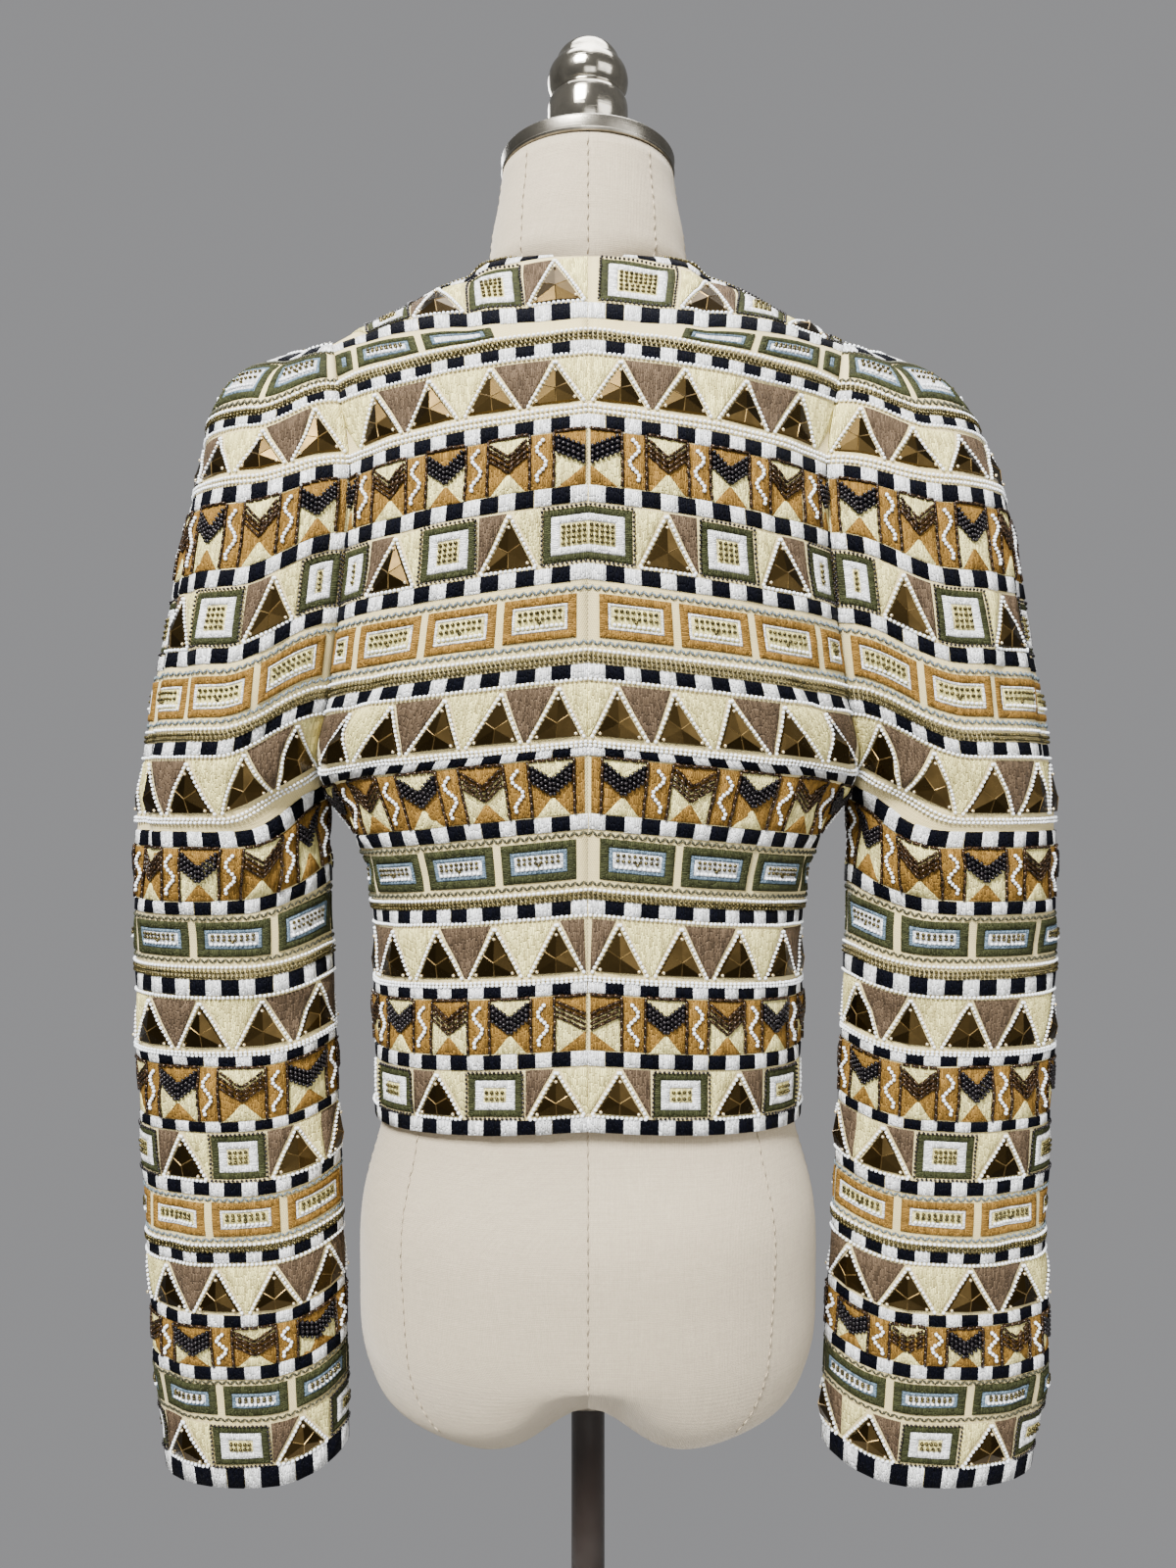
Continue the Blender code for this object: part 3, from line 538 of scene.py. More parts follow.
def armhole_depth(height):
    """How far the armhole's loop stands from the shoulder line at a height."""
    middle = ARMHOLE_LOW + ARMHOLE_HALF_HEIGHT
    share = np.minimum(np.abs(height - middle) / ARMHOLE_HALF_HEIGHT, 1.0)
    return ARMHOLE_HALF_DEPTH * (1 - share**ARMHOLE_POWER) ** (1 / ARMHOLE_POWER)


def torso_section(face, row, across):
    """Points of level sections below the shoulder's turn."""
    side_height = column(TORSO_ROWS, "centre", "side", row)
    half = column(TORSO_ROWS, "centre", "half", row)
    depth = column(TORSO_ROWS, "centre", "back" if face == BACK else "front", row)
    roundness = column(TORSO_ROWS, "centre", "round", row)
    side_depth = np.where(row > UNDERARM_ROW, armhole_depth(side_height), 0.0)
    middle_height = row if face == BACK else FRONT_HEM + (row - HEM_HEIGHT) * FRONT_RISE
    curve = np.maximum(1 - across**SECTION_POWER, 0.0) ** roundness
    y = side_depth + (depth - side_depth) * curve
    height = middle_height + (side_height - middle_height) * across
    return np.stack([half * across, face * y, height], axis=-1)


def top_edge(face, across):
    """Points of the neckline and shoulder seam."""
    x = SHOULDER_TIP[0] * across
    share = np.clip(x / NECK_SIDE[0], 0.0, 1.0)
    depth = NAPE_DEPTH if face == BACK else THROAT_DEPTH
    low = TOP_ROW if face == BACK else THROAT_HEIGHT
    y = depth * np.sqrt(np.maximum(1 - share**2, 0.0))
    neck = np.stack([x, face * y, low + (NECK_SIDE[2] - low) * share**2], axis=-1)
    along = np.clip((x - NECK_SIDE[0]) / (SHOULDER_TIP[0] - NECK_SIDE[0]), 0.0, 1.0)[..., None]
    shoulder = np.array(NECK_SIDE) + (np.array(SHOULDER_TIP) - np.array(NECK_SIDE)) * along
    return np.where((x >= NECK_SIDE[0])[..., None], shoulder, neck)


def torso_point(face, row, across):
    """Points of the jacket's outer face."""
    row, across = np.broadcast_arrays(np.asarray(row, float), np.asarray(across, float))
    below = torso_section(face, np.minimum(row, CAP_ROW), across)
    high = top_edge(face, across)
    turn = np.clip((row - CAP_ROW) / (TOP_ROW - CAP_ROW), 0.0, 1.0)
    power = 1.35 + 0.75 * smoothstep(0.15, 0.6, across)
    back_share = np.maximum(np.cos(turn * math.pi / 2), 0.0) ** (2 / power)
    rise_share = np.sin(turn * math.pi / 2) ** (2 / power)
    x = below[..., 0] + (high[..., 0] - below[..., 0]) * turn
    y = high[..., 1] + (below[..., 1] - high[..., 1]) * back_share
    z = below[..., 2] + (high[..., 2] - below[..., 2]) * rise_share
    return np.where((row <= CAP_ROW)[..., None], below, np.stack([x, y, z], axis=-1))


def torso_half(face, side):
    """Gives the surface of half the torso by level and share."""

    def surface(row, share):
        across = np.sin(share * math.pi / 2)
        return torso_point(face, row, across) * np.array([side, 1, 1])

    return surface


def fold_depth(folds, row, share):
    """How far the long folds take the sleeve's cloth in."""
    depth = 0.0
    for fold in folds:
        near = 1 - smoothstep(0.0, fold.half_width, np.abs(share - fold.around))
        middle = (fold.low + fold.high) / 2
        span = (fold.high - fold.low) / 2
        along = 1 - smoothstep(0.3 * span, span, np.abs(row - SLEEVE_SHIFT - middle))
        depth = depth + fold.depth * near * along
    return depth


def sleeve_surface(side):
    """Gives the surface of a sleeve by level and share, from the inner seam over the back."""
    name = "left" if side < 0 else "right"
    folds = LEFT_FOLDS if side < 0 else RIGHT_FOLDS

    def surface(row, share):
        row, share = np.broadcast_arrays(np.asarray(row, float), np.asarray(share, float))
        outer = column(SLEEVE_ROWS, "row", name + "_out", row)
        height = column(SLEEVE_ROWS, "row", "height", row)
        fullness = column(SLEEVE_ROWS, "row", "depth", row)
        edge = torso_point(BACK, np.maximum(row, UNDERARM_ROW), np.ones_like(row))
        above = row > UNDERARM_ROW
        inner = np.where(above, edge[..., 0], column(SLEEVE_ROWS, "row", name + "_in", row))
        edge_depth = np.where(above, np.abs(edge[..., 1]), 0.0)
        depth = np.hypot(edge_depth, fullness)
        start = np.where(depth > TINY, np.arctan2(edge_depth, np.maximum(fullness, TINY)), math.pi / 3)
        half = (outer - inner) / (1 + np.cos(start))
        turn = start + (2 * math.pi - 2 * start) * share
        seam = 0.5 + 0.5 * np.cos(math.pi * np.minimum(np.minimum(share, 1 - share) / 0.2, 1.0))
        scale = 1 - fold_depth(folds, row, share) / np.maximum(half, 0.01)
        x = outer - half - half * np.cos(turn) * scale
        y = -depth * np.sin(turn) * scale
        under = ARMHOLE_LOW - column(SLEEVE_ROWS, "row", "height", UNDERARM_ROW)
        settled = ELBOW_RISE + (CUFF_RISE - ELBOW_RISE) * smoothstep(-0.85, -0.66, SLEEVE_SHIFT - row)
        low_rise = settled + (under - settled) * smoothstep(UNDERARM_ROW - 0.08, UNDERARM_ROW, row)
        rise = np.where(row >= UNDERARM_ROW, edge[..., 2] - height, low_rise)
        return np.stack([side * x, y, height + rise * seam], axis=-1)

    return surface


def crease_lift(creases, along, level, length):
    """How far creases and puckers move the cloth out."""
    lift = PUCKER * np.sin(along / 0.0071 + 2.0 * np.sin(level / 0.013)) * np.sin(level / 0.0058)
    lift = lift + 1.5 * PUCKER * np.sin(along / 0.019 + level / 0.011)
    for crease in creases:
        angle = math.radians(crease.slope)
        right = along - crease.share * length
        up = level - crease.level
        run = right * math.cos(angle) + up * math.sin(angle)
        off = up * math.cos(angle) - right * math.sin(angle)
        off = off + 0.12 * run * run / crease.half_length
        near = np.exp(-((run / crease.half_length) ** 2))
        trough = np.exp(-((off / crease.half_width) ** 2))
        ridge = np.exp(-(((off - 1.7 * crease.half_width) / crease.half_width) ** 2))
        lift = lift + crease.depth * near * (0.7 * ridge - trough)
    return lift


def between(grid, i, j):
    """Reads a grid between its points."""
    i0 = np.clip(i.astype(int), 0, grid.shape[0] - 2)
    j0 = np.clip(j.astype(int), 0, grid.shape[1] - 2)
    p = i - i0
    q = j - j0
    if grid.ndim == 3:
        p = p[..., None]
        q = q[..., None]
    low = grid[i0, j0] * (1 - q) + grid[i0, j0 + 1] * q
    high = grid[i0 + 1, j0] * (1 - q) + grid[i0 + 1, j0 + 1] * q
    return low * (1 - p) + high * p


def run_along(points, axis):
    """Metres along each line of a grid of points."""
    steps = np.linalg.norm(np.diff(points, axis=axis), axis=-1)
    run = np.cumsum(steps, axis=axis)
    return np.concatenate([np.zeros_like(run.take([0], axis=axis)), run], axis=axis)


def torso_fan(face):
    """Gives the rows of the torso's levels: above the chest, bands keep their height over the shoulder."""
    rows = np.linspace(FAN_ROW, TOP_ROW, FAN_POINTS)
    across = np.linspace(0, 1, FAN_COLUMNS + 1)
    runs = run_along(torso_point(face, rows[None, :], across[:, None]), 1)
    steps = np.linspace(0, FAN_STEP * FAN_STEPS, FAN_STEPS + 1)
    table = np.array([np.interp(steps, run, rows) for run in runs])
    nape = torso_point(BACK, rows, np.zeros_like(rows))
    nape_run = run_along(nape, 0)

    def fan(level, share):
        level, share = np.broadcast_arrays(level, share)
        across = np.sin(share * math.pi / 2)
        centre = np.interp(level, nape[:, 2], nape_run) + np.maximum(level - TOP_ROW, 0.0)
        side = np.interp(level, [line.centre for line in FAN_LINES], [line.run for line in FAN_LINES])
        run = centre + (side - centre) * across**FAN_BEND
        high = between(table, across * FAN_COLUMNS, np.clip(run / FAN_STEP, 0, FAN_STEPS - 0.1))
        return np.where(level > FAN_ROW, high, level)

    return fan


def sleeve_fan(level, share):
    """The rows of a sleeve's levels, which meet the torso's lines at the armhole."""
    level, share = np.broadcast_arrays(level, share)
    rows = np.linspace(FAN_ROW, TOP_ROW, FAN_POINTS)
    run = run_along(torso_point(BACK, rows, np.ones_like(rows)), 0)
    lines = [line for line in FAN_LINES if line.run < run[-1]]
    wanted = np.interp(level, [line.sleeve for line in lines] + [TOP_ROW],
                       [line.run for line in lines] + [run[-1]])
    edge = np.interp(wanted, run, rows)
    inward = smoothstep(0.0, 0.24, np.minimum(share, 1 - share))
    return np.where(level > FAN_ROW, edge + (level - edge) * inward, level)


def plain_fan(level, share):
    """Levels that are rows all along."""
    return level + 0 * share


class Surface:
    """A surface as a grid of rows and shares, with the chart of embroidery levels on it."""

    def __init__(self, make, rows, columns, flip, fan=plain_fan, closed_below=None, creases=(), top=None):
        self.rows = rows
        self.levels = np.linspace(rows[0], top or rows[-1], len(rows))
        self.columns = columns
        self.flip = flip
        self.closed_below = closed_below
        shares = np.linspace(0, 1, columns + 1)
        self.points = make(rows[:, None], shares[None, :])
        self.out = self.directions()
        if creases:
            # Creases fade out at the seams, the hem and the neck
            along = run_along(self.points, 1)
            lift = crease_lift(creases, along, rows[:, None], along[:, -1:])
            edge = np.minimum(shares, 1 - shares)[None, :]
            ends = np.minimum(rows - rows[0], rows[-1] - rows)[:, None]
            lift = lift * smoothstep(0.0, 0.05, edge) * smoothstep(-0.004, 0.012, ends)
            self.points = self.points + self.out * lift[..., None]
            self.out = self.directions()
        self.along = run_along(self.points, 1)
        self.upward = run_along(self.points[:, columns // 2], 0)
        fine = np.linspace(0, 1, CHART_POINTS)
        lines = make(fan(self.levels[:, None], fine[None, :]), np.broadcast_to(fine, (len(rows), len(fine))))
        run = run_along(lines, 1)
        self.lengths = run[:, -1]
        self.chart_share = np.array([np.interp(shares * line[-1], line, fine) if line[-1] > TINY else shares
                                     for line in run])
        self.chart_row = fan(self.levels[:, None], self.chart_share)
        self.clear = (self.chart_row < rows[-1] - 2e-5).astype(float)

    def directions(self):
        """Outward unit vectors of the grid."""
        along = np.gradient(self.points, axis=1)
        if self.closed_below is not None:
            rings = self.rows <= self.closed_below + TINY
            along[rings, 0] = along[rings, -1] = self.points[rings, 1] - self.points[rings, -2]
        up = np.gradient(self.points, axis=0)
        out = np.cross(along, up) * self.flip
        size = np.linalg.norm(out, axis=2, keepdims=True)
        return np.where(size > 1e-12, out / np.maximum(size, 1e-12), np.array([0.0, 0.0, 1.0]))

    def spot(self, level, share):
        """Row and column of a place in the chart's grid."""
        row = np.interp(level, self.levels, np.arange(len(self.levels)))
        return row, np.clip(share, 0.0, 1.0) * self.columns

    def place(self, level, share):
        """Points and outward directions at places of the chart."""
        i, j = self.spot(level, share)
        row = np.interp(between(self.chart_row, i, j), self.rows, np.arange(len(self.rows)))
        around = between(self.chart_share, i, j) * self.columns
        return between(self.points, row, around), between(self.out, row, around)

    def is_clear(self, level, share):
        """Tells where a place of the chart is still on the cloth."""
        return between(self.clear, *self.spot(level, share)) > 0.6

    def length(self, level):
        """Length of the line at a level."""
        return float(np.interp(level, self.levels, self.lengths))

    def is_ring(self, level):
        """Tells whether the line at a level goes all round."""
        return self.closed_below is not None and level <= self.closed_below + TINY


# Meshes


def read_mesh(bm):
    """Points and faces of a bmesh as arrays, and the end of the bmesh."""
    bm.verts.index_update()
    points = np.array([v.co[:] for v in bm.verts])
    faces = np.array([[v.index for v in face.verts] for face in bm.faces])
    bm.free()
    return points, faces


def unit_grid(across, up):
    """Points of a square from 0 to 1 and its faces, from the grid operator."""
    bm = bmesh.new()
    bmesh.ops.create_grid(bm, x_segments=across, y_segments=up, size=0.5)
    points, faces = read_mesh(bm)
    return points[:, :2] + 0.5, faces


def unit_shape(make, **settings):
    """Points and triangles of a small closed shape of a bmesh operator, laid along X."""
    bm = bmesh.new()
    make(bm, **settings)
    bmesh.ops.rotate(bm, verts=bm.verts, matrix=Matrix.Rotation(math.pi / 2, 3, "Y"))
    bmesh.ops.triangulate(bm, faces=bm.faces)
    return read_mesh(bm)


def joined(shapes):
    """Points and faces of many small meshes as those of one."""
    steps = np.cumsum([0] + [len(points) for points, _ in shapes[:-1]])
    return (np.concatenate([points for points, _ in shapes]),
            np.concatenate([faces + step for (_, faces), step in zip(shapes, steps)]))


def linked(name, data):
    """A new object in the scene."""
    made = bpy.data.objects.new(name, data)
    bpy.context.scene.collection.objects.link(made)
    return made


def mesh_object(name, points, faces, materials, face_material, uvs=None, smooth=True):
    """An object of a mesh given by arrays of points and of faces with equal numbers of corners."""
    mesh = bpy.data.meshes.new(name)
    mesh.vertices.add(len(points))
    mesh.vertices.foreach_set("co", points.astype(np.float32).ravel())
    mesh.loops.add(faces.size)
    mesh.loops.foreach_set("vertex_index", faces.astype(np.int32).ravel())
    mesh.polygons.add(len(faces))
    mesh.polygons.foreach_set("loop_start", np.arange(0, faces.size, faces.shape[1], dtype=np.int32))
    for material in materials:
        mesh.materials.append(material)
    mesh.polygons.foreach_set("material_index", face_material.astype(np.int32))
    mesh.polygons.foreach_set("use_smooth", np.full(len(faces), smooth))
    if uvs is not None:
        layer = mesh.uv_layers.new(name="UVMap")
        layer.data.foreach_set("uv", uvs[faces.ravel()].astype(np.float32).ravel())
    mesh.update(calc_edges=True)
    mesh.validate()
    return linked(name, mesh)


def bmesh_object(bm, name, material, smooth=True):
    """An object of a bmesh."""
    mesh = bpy.data.meshes.new(name)
    bm.to_mesh(mesh)
    bm.free()
    mesh.materials.append(material)
    mesh.polygons.foreach_set("use_smooth", np.full(len(mesh.polygons), smooth))
    return linked(name, mesh)


def surface_shell(surface, name, material, across, up):
    """The cloth itself: a grid laid on the surface, closed where its edges meet."""
    bm = bmesh.new()
    bmesh.ops.create_grid(bm, x_segments=across, y_segments=up, size=0.5)
    layer = bm.loops.layers.uv.new("UVMap")
    row = np.array([v.co.y + 0.5 for v in bm.verts]) * (len(surface.rows) - 1)
    column = np.array([v.co.x + 0.5 for v in bm.verts]) * surface.columns
    places = between(surface.points, row, column) - between(surface.out, row, column) * UNDER
    along = between(surface.along, row, column)
    high = np.interp(row, np.arange(len(surface.rows)), surface.upward)
    for v, place in zip(bm.verts, places):
        v.co = place
    bm.verts.index_update()
    for face in bm.faces:
        for loop in face.loops:
            loop[layer].uv = (along[loop.vert.index], high[loop.vert.index])
    if surface.flip < 0:
        bmesh.ops.reverse_faces(bm, faces=bm.faces)
    bmesh.ops.remove_doubles(bm, verts=bm.verts, dist=2e-6)
    return bmesh_object(bm, name, material)


class Needlework:
    """Gathers the thread work, beads and studs of one panel, and makes them joined pieces."""

    def __init__(self, surface, seed):
        self.surface = surface
        self.random = np.random.default_rng(seed)
        self.patches = []
        self.beads = {kind: [] for kind in BEADS}
        self.studs = []

    def add_beads(self, kind, centres, along, out, half_length, half_width):
        """Keeps beads: places, directions along and out, and half sizes."""
        if len(centres):
            self.beads[kind].append((centres, along, out, half_length, half_width))

    def thread_piece(self, name, materials):
        """All thread work of the panel as one piece, a material for each colour."""
        points, faces = joined([(points, faces) for _, points, faces, _ in self.patches])
        uvs = np.concatenate([uvs for *_, uvs in self.patches])
        marks = np.concatenate([np.full(len(faces), THREADS.index(thread))
                                for thread, _, faces, _ in self.patches])
        if self.surface.flip < 0:
            faces = faces[:, ::-1]
        corner = points[faces]
        area = np.linalg.norm(np.cross(corner[:, 2] - corner[:, 0], corner[:, 3] - corner[:, 1]), axis=1)
        kept = area > LEAST_FACE
        return mesh_object(name, points, faces[kept], materials, marks[kept], uvs)

    def bead_piece(self, name, kinds, materials):
        """Beads of some kinds as one piece, a material for each kind."""
        shapes = dict.fromkeys(BEADS, unit_shape(bmesh.ops.create_icosphere, subdivisions=1, radius=1.0))
        shapes["bugle"] = unit_shape(bmesh.ops.create_cone, cap_ends=True, segments=5, radius1=1.0,
                                     radius2=1.0, depth=2.0)
        shapes["grey stitch"] = shapes["olive stitch"] = unit_shape(
            bmesh.ops.create_uvsphere, u_segments=4, v_segments=2, radius=1.0)
        groups = []
        marks = []
        for mark, kind in enumerate(kinds):
            shape, triangles = shapes[kind]
            for centres, along, out, half_length, half_width in self.beads[kind]:
                side = np.cross(out, along)
                half_length = np.reshape(half_length, (-1, 1, 1))
                spread = (shape[None, :, 0, None] * along[:, None] * half_length
                          + shape[None, :, 1, None] * side[:, None] * half_width
                          + shape[None, :, 2, None] * out[:, None] * half_width)
                steps = len(shape) * np.arange(len(centres))
                groups.append(((centres[:, None] + spread).reshape(-1, 3),
                               (triangles[None] + steps[:, None, None]).reshape(-1, 3)))
                marks.append(np.full(len(centres) * len(triangles), mark))
        if not groups:
            raise RuntimeError(f"{name} has no beads")
        return mesh_object(name, *joined(groups), materials, np.concatenate(marks))

    def stud_piece(self, name, materials):
        """The faceted studs of the panel as one piece."""
        if not self.studs:
            raise RuntimeError(f"{name} has no studs")
        # Ridge faces come after the stud's own faces and take the second material, which carries the painted
        # highlight
        marks = np.concatenate([np.arange(len(faces)) >= len(STUD_FACES) for _, faces in self.studs])
        return mesh_object(name, *joined(self.studs), materials, marks, smooth=False)


def bead_sizes():
    """The sizes that a user would change."""
    return bpy.context.scene.jacket_beads


def block(left, right, low, high):
    """Corners of a block from the lower left round."""
    return [(left, low), (right, low), (right, high), (left, high)]


class Strip:
    """One band of a panel. A place in it is metres along its lower line and a share of its height."""

    def __init__(self, work, band):
        self.work = work
        self.surface = work.surface
        self.low = band.low
        self.high = band.high
        self.length = self.surface.length(band.low)
        self.ring = self.surface.is_ring(band.low)
        self.grids = {}

    def level(self, h):
        """Level of a share of the height."""
        return self.low + np.asarray(h, float) * (self.high - self.low)

    def place(self, u, h, lift):
        """Points lifted off the cloth, and the directions out."""
        share = np.asarray(u, float) / max(self.length, TINY)
        if self.ring:
            share = np.where((share < 0) | (share > 1), share % 1.0, share)
        place, out = self.surface.place(self.level(h), share)
        return place + out * np.asarray(lift)[..., None], out

    def is_clear(self, u, h):
        """Tells where places of the band are still on the cloth."""
        u = np.asarray(u, float)
        if self.ring:
            return np.full(u.shape, True)
        clear = self.surface.is_clear(self.level(h), u / max(self.length, TINY))
        return clear & (u >= 0) & (u <= self.length)

    def height(self, u):
        """Real height of the band at a place."""
        ends, _ = self.place([u, u, u], [0.0, 0.5, 1.0], np.zeros(3))
        return float(np.linalg.norm(ends[1] - ends[0]) + np.linalg.norm(ends[2] - ends[1]))

    def patch(self, thread, corners, rise, turn=0.0, sides=True, ends=True):
        """Thread work over four corners, from the lower left round, padded up by rise.

        It goes down into the cloth along its left and right sides and its lower and upper ends.
        """
        low_left, low_right, high_right, high_left = np.asarray(corners, float)
        tall = max(self.height((low_left[0] + high_right[0]) / 2), LEAST_HEIGHT)
        if min(low_left[0], high_left[0]) > self.length and not self.ring:
            return
        width = max(low_right[0] - low_left[0], high_right[0] - high_left[0])
        height = max(high_left[1] - low_left[1], high_right[1] - low_right[1]) * tall
        if width < LEAST_PATCH or height < LEAST_PATCH:
            return
        across = int(min(max(width / STEP_ACROSS, 1), MOST_ACROSS)) + 2
        up = int(min(max(height / STEP_UP, 1), MOST_UP)) + 2
        if (across, up) not in self.grids:
            self.grids[(across, up)] = unit_grid(across, up)
        square, faces = self.grids[(across, up)]
        p = self.to_edge(square[:, 0], across, min(PATCH_EDGE / width, 0.2))
        q = self.to_edge(square[:, 1], up, min(PATCH_EDGE / height, 0.2))
        flat = ((1 - p) * (1 - q))[:, None] * low_left + (p * (1 - q))[:, None] * low_right \
            + (p * q)[:, None] * high_right + ((1 - p) * q)[:, None] * high_left
        dome = np.ones(len(p))
        raised = np.full(len(p), True)
        for share, sinks in ((p, sides), (q, ends)):
            if sinks:
                raised &= (share > TINY) & (share < 1 - TINY)
                dome *= 1 - (2 * share - 1) ** 2
        lift = np.where(raised, rise * (0.72 + 0.28 * dome), -SINK)
        points, _ = self.place(flat[:, 0], flat[:, 1], lift)
        x, y = flat[:, 0], flat[:, 1] * tall
        shift = self.work.random.uniform(0, 0.5, 2)
        cos, sin = math.cos(turn), math.sin(turn)
        uvs = np.stack([x * cos - y * sin + shift[0], x * sin + y * cos + shift[1]], axis=-1)
        self.work.patches.append((thread, points, faces, uvs))

    @staticmethod
    def to_edge(values, count, edge):
        """Moves the first and last inner lines of a grid close to its edge."""
        lines = np.linspace(0, 1, count + 1)
        moved = np.concatenate([[0.0], np.linspace(edge, 1 - edge, count - 1), [1.0]])
        return np.interp(values, lines, moved)

    def string(self, kind, path, pitch, half_length, half_width, lift, wobble=WOBBLE):
        """Beads threaded along a path of places."""
        path = np.asarray(path, float)
        legs = np.linalg.norm(np.diff(path * [1.0, self.high - self.low], axis=0), axis=1)
        counts = np.maximum((legs / STRING_STEP).astype(int), 1)
        fine = [path[:1]]
        for a, b, n in zip(path[:-1], path[1:], counts):
            fine.append(a + (b - a) * (np.arange(1, n + 1) / n)[:, None])
        fine = np.concatenate(fine)
        fine = fine[self.is_clear(fine[:, 0], fine[:, 1])]
        if len(fine) < 2:
            return
        places, _ = self.place(fine[:, 0], fine[:, 1], np.zeros(len(fine)))
        run = run_along(places, 0)
        count = int(round(run[-1] / pitch))
        if count < 1:
            return
        step = run[-1] / count
        at = (np.arange(count) + 0.5) * step
        lifts = lift + self.work.random.uniform(-wobble, wobble, count)
        centres, out = self.place(np.interp(at, run, fine[:, 0]), np.interp(at, run, fine[:, 1]), lifts)
        before, after = (np.stack([np.interp(at + shift, run, places[:, k]) for k in range(3)], axis=-1)
                         for shift in (-LOOK * step, LOOK * step))
        along = after - before + self.work.random.normal(0, TWIST * step, (count, 3))
        along -= out * np.sum(along * out, axis=1, keepdims=True)
        along /= np.maximum(np.linalg.norm(along, axis=1, keepdims=True), TINY)
        centres = centres + np.cross(out, along) * self.work.random.uniform(-wobble, wobble, (count, 1))
        self.work.add_beads(kind, centres, along, out, half_length, half_width)

    def white_beads(self, path):
        long, wide = bead_sizes().white_length, bead_sizes().white_width
        self.string("white bead", path, long * 1.03, long * 0.47, wide / 2, 0.00080)

    def gold_beads(self, path, gap):
        long = bead_sizes().gold_length
        self.string("gold bead", path, long * gap, long * 0.50, 0.00122, 0.0008)

    def bugles(self, path):
        long = bead_sizes().bugle_length
        self.string("bugle", path, long * 1.06, long * 0.49, 0.00095, 0.0010)

    def dark_beads(self, path):
        self.string("dark bead", path, 0.0027, 0.00132, 0.00135, 0.0014)

    def zigzag(self, kind, h, swing, tooth):
        """A zigzag of single stitches along the band."""
        count = max(2 * int(round(self.length / tooth / 2)), 2)
        us = np.linspace(0.0, self.length, count + 1)
        hs = h + swing * np.where(np.arange(count + 1) % 2, 1.0, -1.0)
        kept = self.is_clear(us, hs)
        kept = kept[:-1] & kept[1:]
        ends, out = self.place(us, hs, np.full(count + 1, STITCH_LIFT))
        along = (ends[1:] - ends[:-1])[kept]
        size = np.linalg.norm(along, axis=1, keepdims=True)
        middle = ((ends[1:] + ends[:-1]) / 2)[kept]
        self.work.add_beads(kind, middle, along / size, out[:-1][kept], size * STITCH_HALF,
                            STITCH_HALF_WIDTH)

    def stud(self, first, base_beads):
        """A faceted stud on a base that begins at a place, in its outline of white beads."""
        middle = first + self.half
        end = first + 2 * self.half
        tall = self.height(middle)
        if tall < STUD_LEAST or (not self.ring and end > self.length + STUD_OVERRUN):
            return
        to_shares = [1.0, tall]
        outline = np.array([[first, 0.0], [end, 0.0], [middle, tall]])
        left, right, top = self.shrunk(outline, STUD_OUTLINE) / to_shares
        for line in ((left, top), (top, right), (left, right))[:3 if base_beads else 2]:
            self.white_beads(line)
        if not np.all(self.is_clear(outline[:, 0], outline[:, 1] / tall * 0.999)):
            return
        inner = self.shrunk(outline, STUD_INNER)
        foot = self.shrunk(outline, STUD_FOOT)
        centre = inner.mean(axis=0, keepdims=True)
        flat = np.concatenate([inner, (inner + np.roll(inner, -1, axis=0)) / 2, centre,
                               foot, (foot + np.roll(foot, -1, axis=0)) / 2]) / to_shares
        points, out = self.place(flat[:, 0], flat[:, 1], STUD_LIFTS)
        triangles = [STUD_FACES]
        peak, up = points[6], out[6]
        for rim in points[3:6]:
            side = np.cross(up, rim - peak)
            side *= RIDGE_HALF / np.linalg.norm(side)
            crest = up * RIDGE_HEIGHT
            triangles.append(RIDGE_FACES + len(points))
            points = np.concatenate([points, [peak + side, peak - side, peak + crest,
                                              rim + side, rim - side, rim + crest * 0.6]])
        triangles = np.concatenate(triangles)
        if self.surface.flip < 0:
            triangles[:len(STUD_FACES)] = triangles[:len(STUD_FACES), ::-1]
        self.work.studs.append((points, triangles))
        corners = (centre + (inner - centre) * SEWING_SHARE) / to_shares
        places, out = self.place(corners[:, 0], corners[:, 1], np.full(3, SEWING_LIFT))
        along = np.cross(out, [0.3, 0.2, 1.0])
        along /= np.linalg.norm(along, axis=1, keepdims=True)
        self.work.add_beads("sewing bead", places, along, out, 0.0011, 0.0010)

    @staticmethod
    def shrunk(outline, margin):
        """A triangle moved in by a margin on every side."""
        sides = [np.linalg.norm(outline[(i + 1) % 3] - outline[(i + 2) % 3]) for i in range(3)]
        whole = sum(sides)
        middle = sum(side * corner for side, corner in zip(sides, outline)) / whole
        edge_a = outline[1] - outline[0]
        edge_b = outline[2] - outline[0]
        radius = abs(edge_a[0] * edge_b[1] - edge_a[1] * edge_b[0]) / whole
        return middle + (outline - middle) * max(1 - margin / radius, 0.05)

    @property
    def half(self):
        """Half a stud's pitch, a whole number of times round a ring."""
        if self.ring:
            return self.length / (2 * round(self.length / STUD_PITCH))
        return HALF_PITCH


# The work of each kind of band


def sew_checks(strip, variant):
    """Navy and white blocks of satin stitch."""
    width = bead_sizes().check_width
    if strip.ring:
        count = 2 * round(strip.length / width / 2)
        width = strip.length / count
    else:
        count = int(strip.length / width) + 1
    draw = strip.work.random.uniform
    for i in range(count):
        thread, wide, rise = CHECKS[i % 2]
        slack = draw(-CHECK_SLACK, CHECK_SLACK, 2)
        left, right = i * width + slack[0] - wide, (i + 1) * width + slack[1] + wide
        if not strip.ring:
            left, right = max(left, 0.0), min(right, strip.length)
        strip.patch(thread, block(left, right, draw(*CHECK_LOW), draw(*CHECK_HIGH)), rise)


def sew_single(strip, variant):
    """One line of white beads."""
    strip.white_beads([(0.0, 0.45), (strip.length, 0.45)])


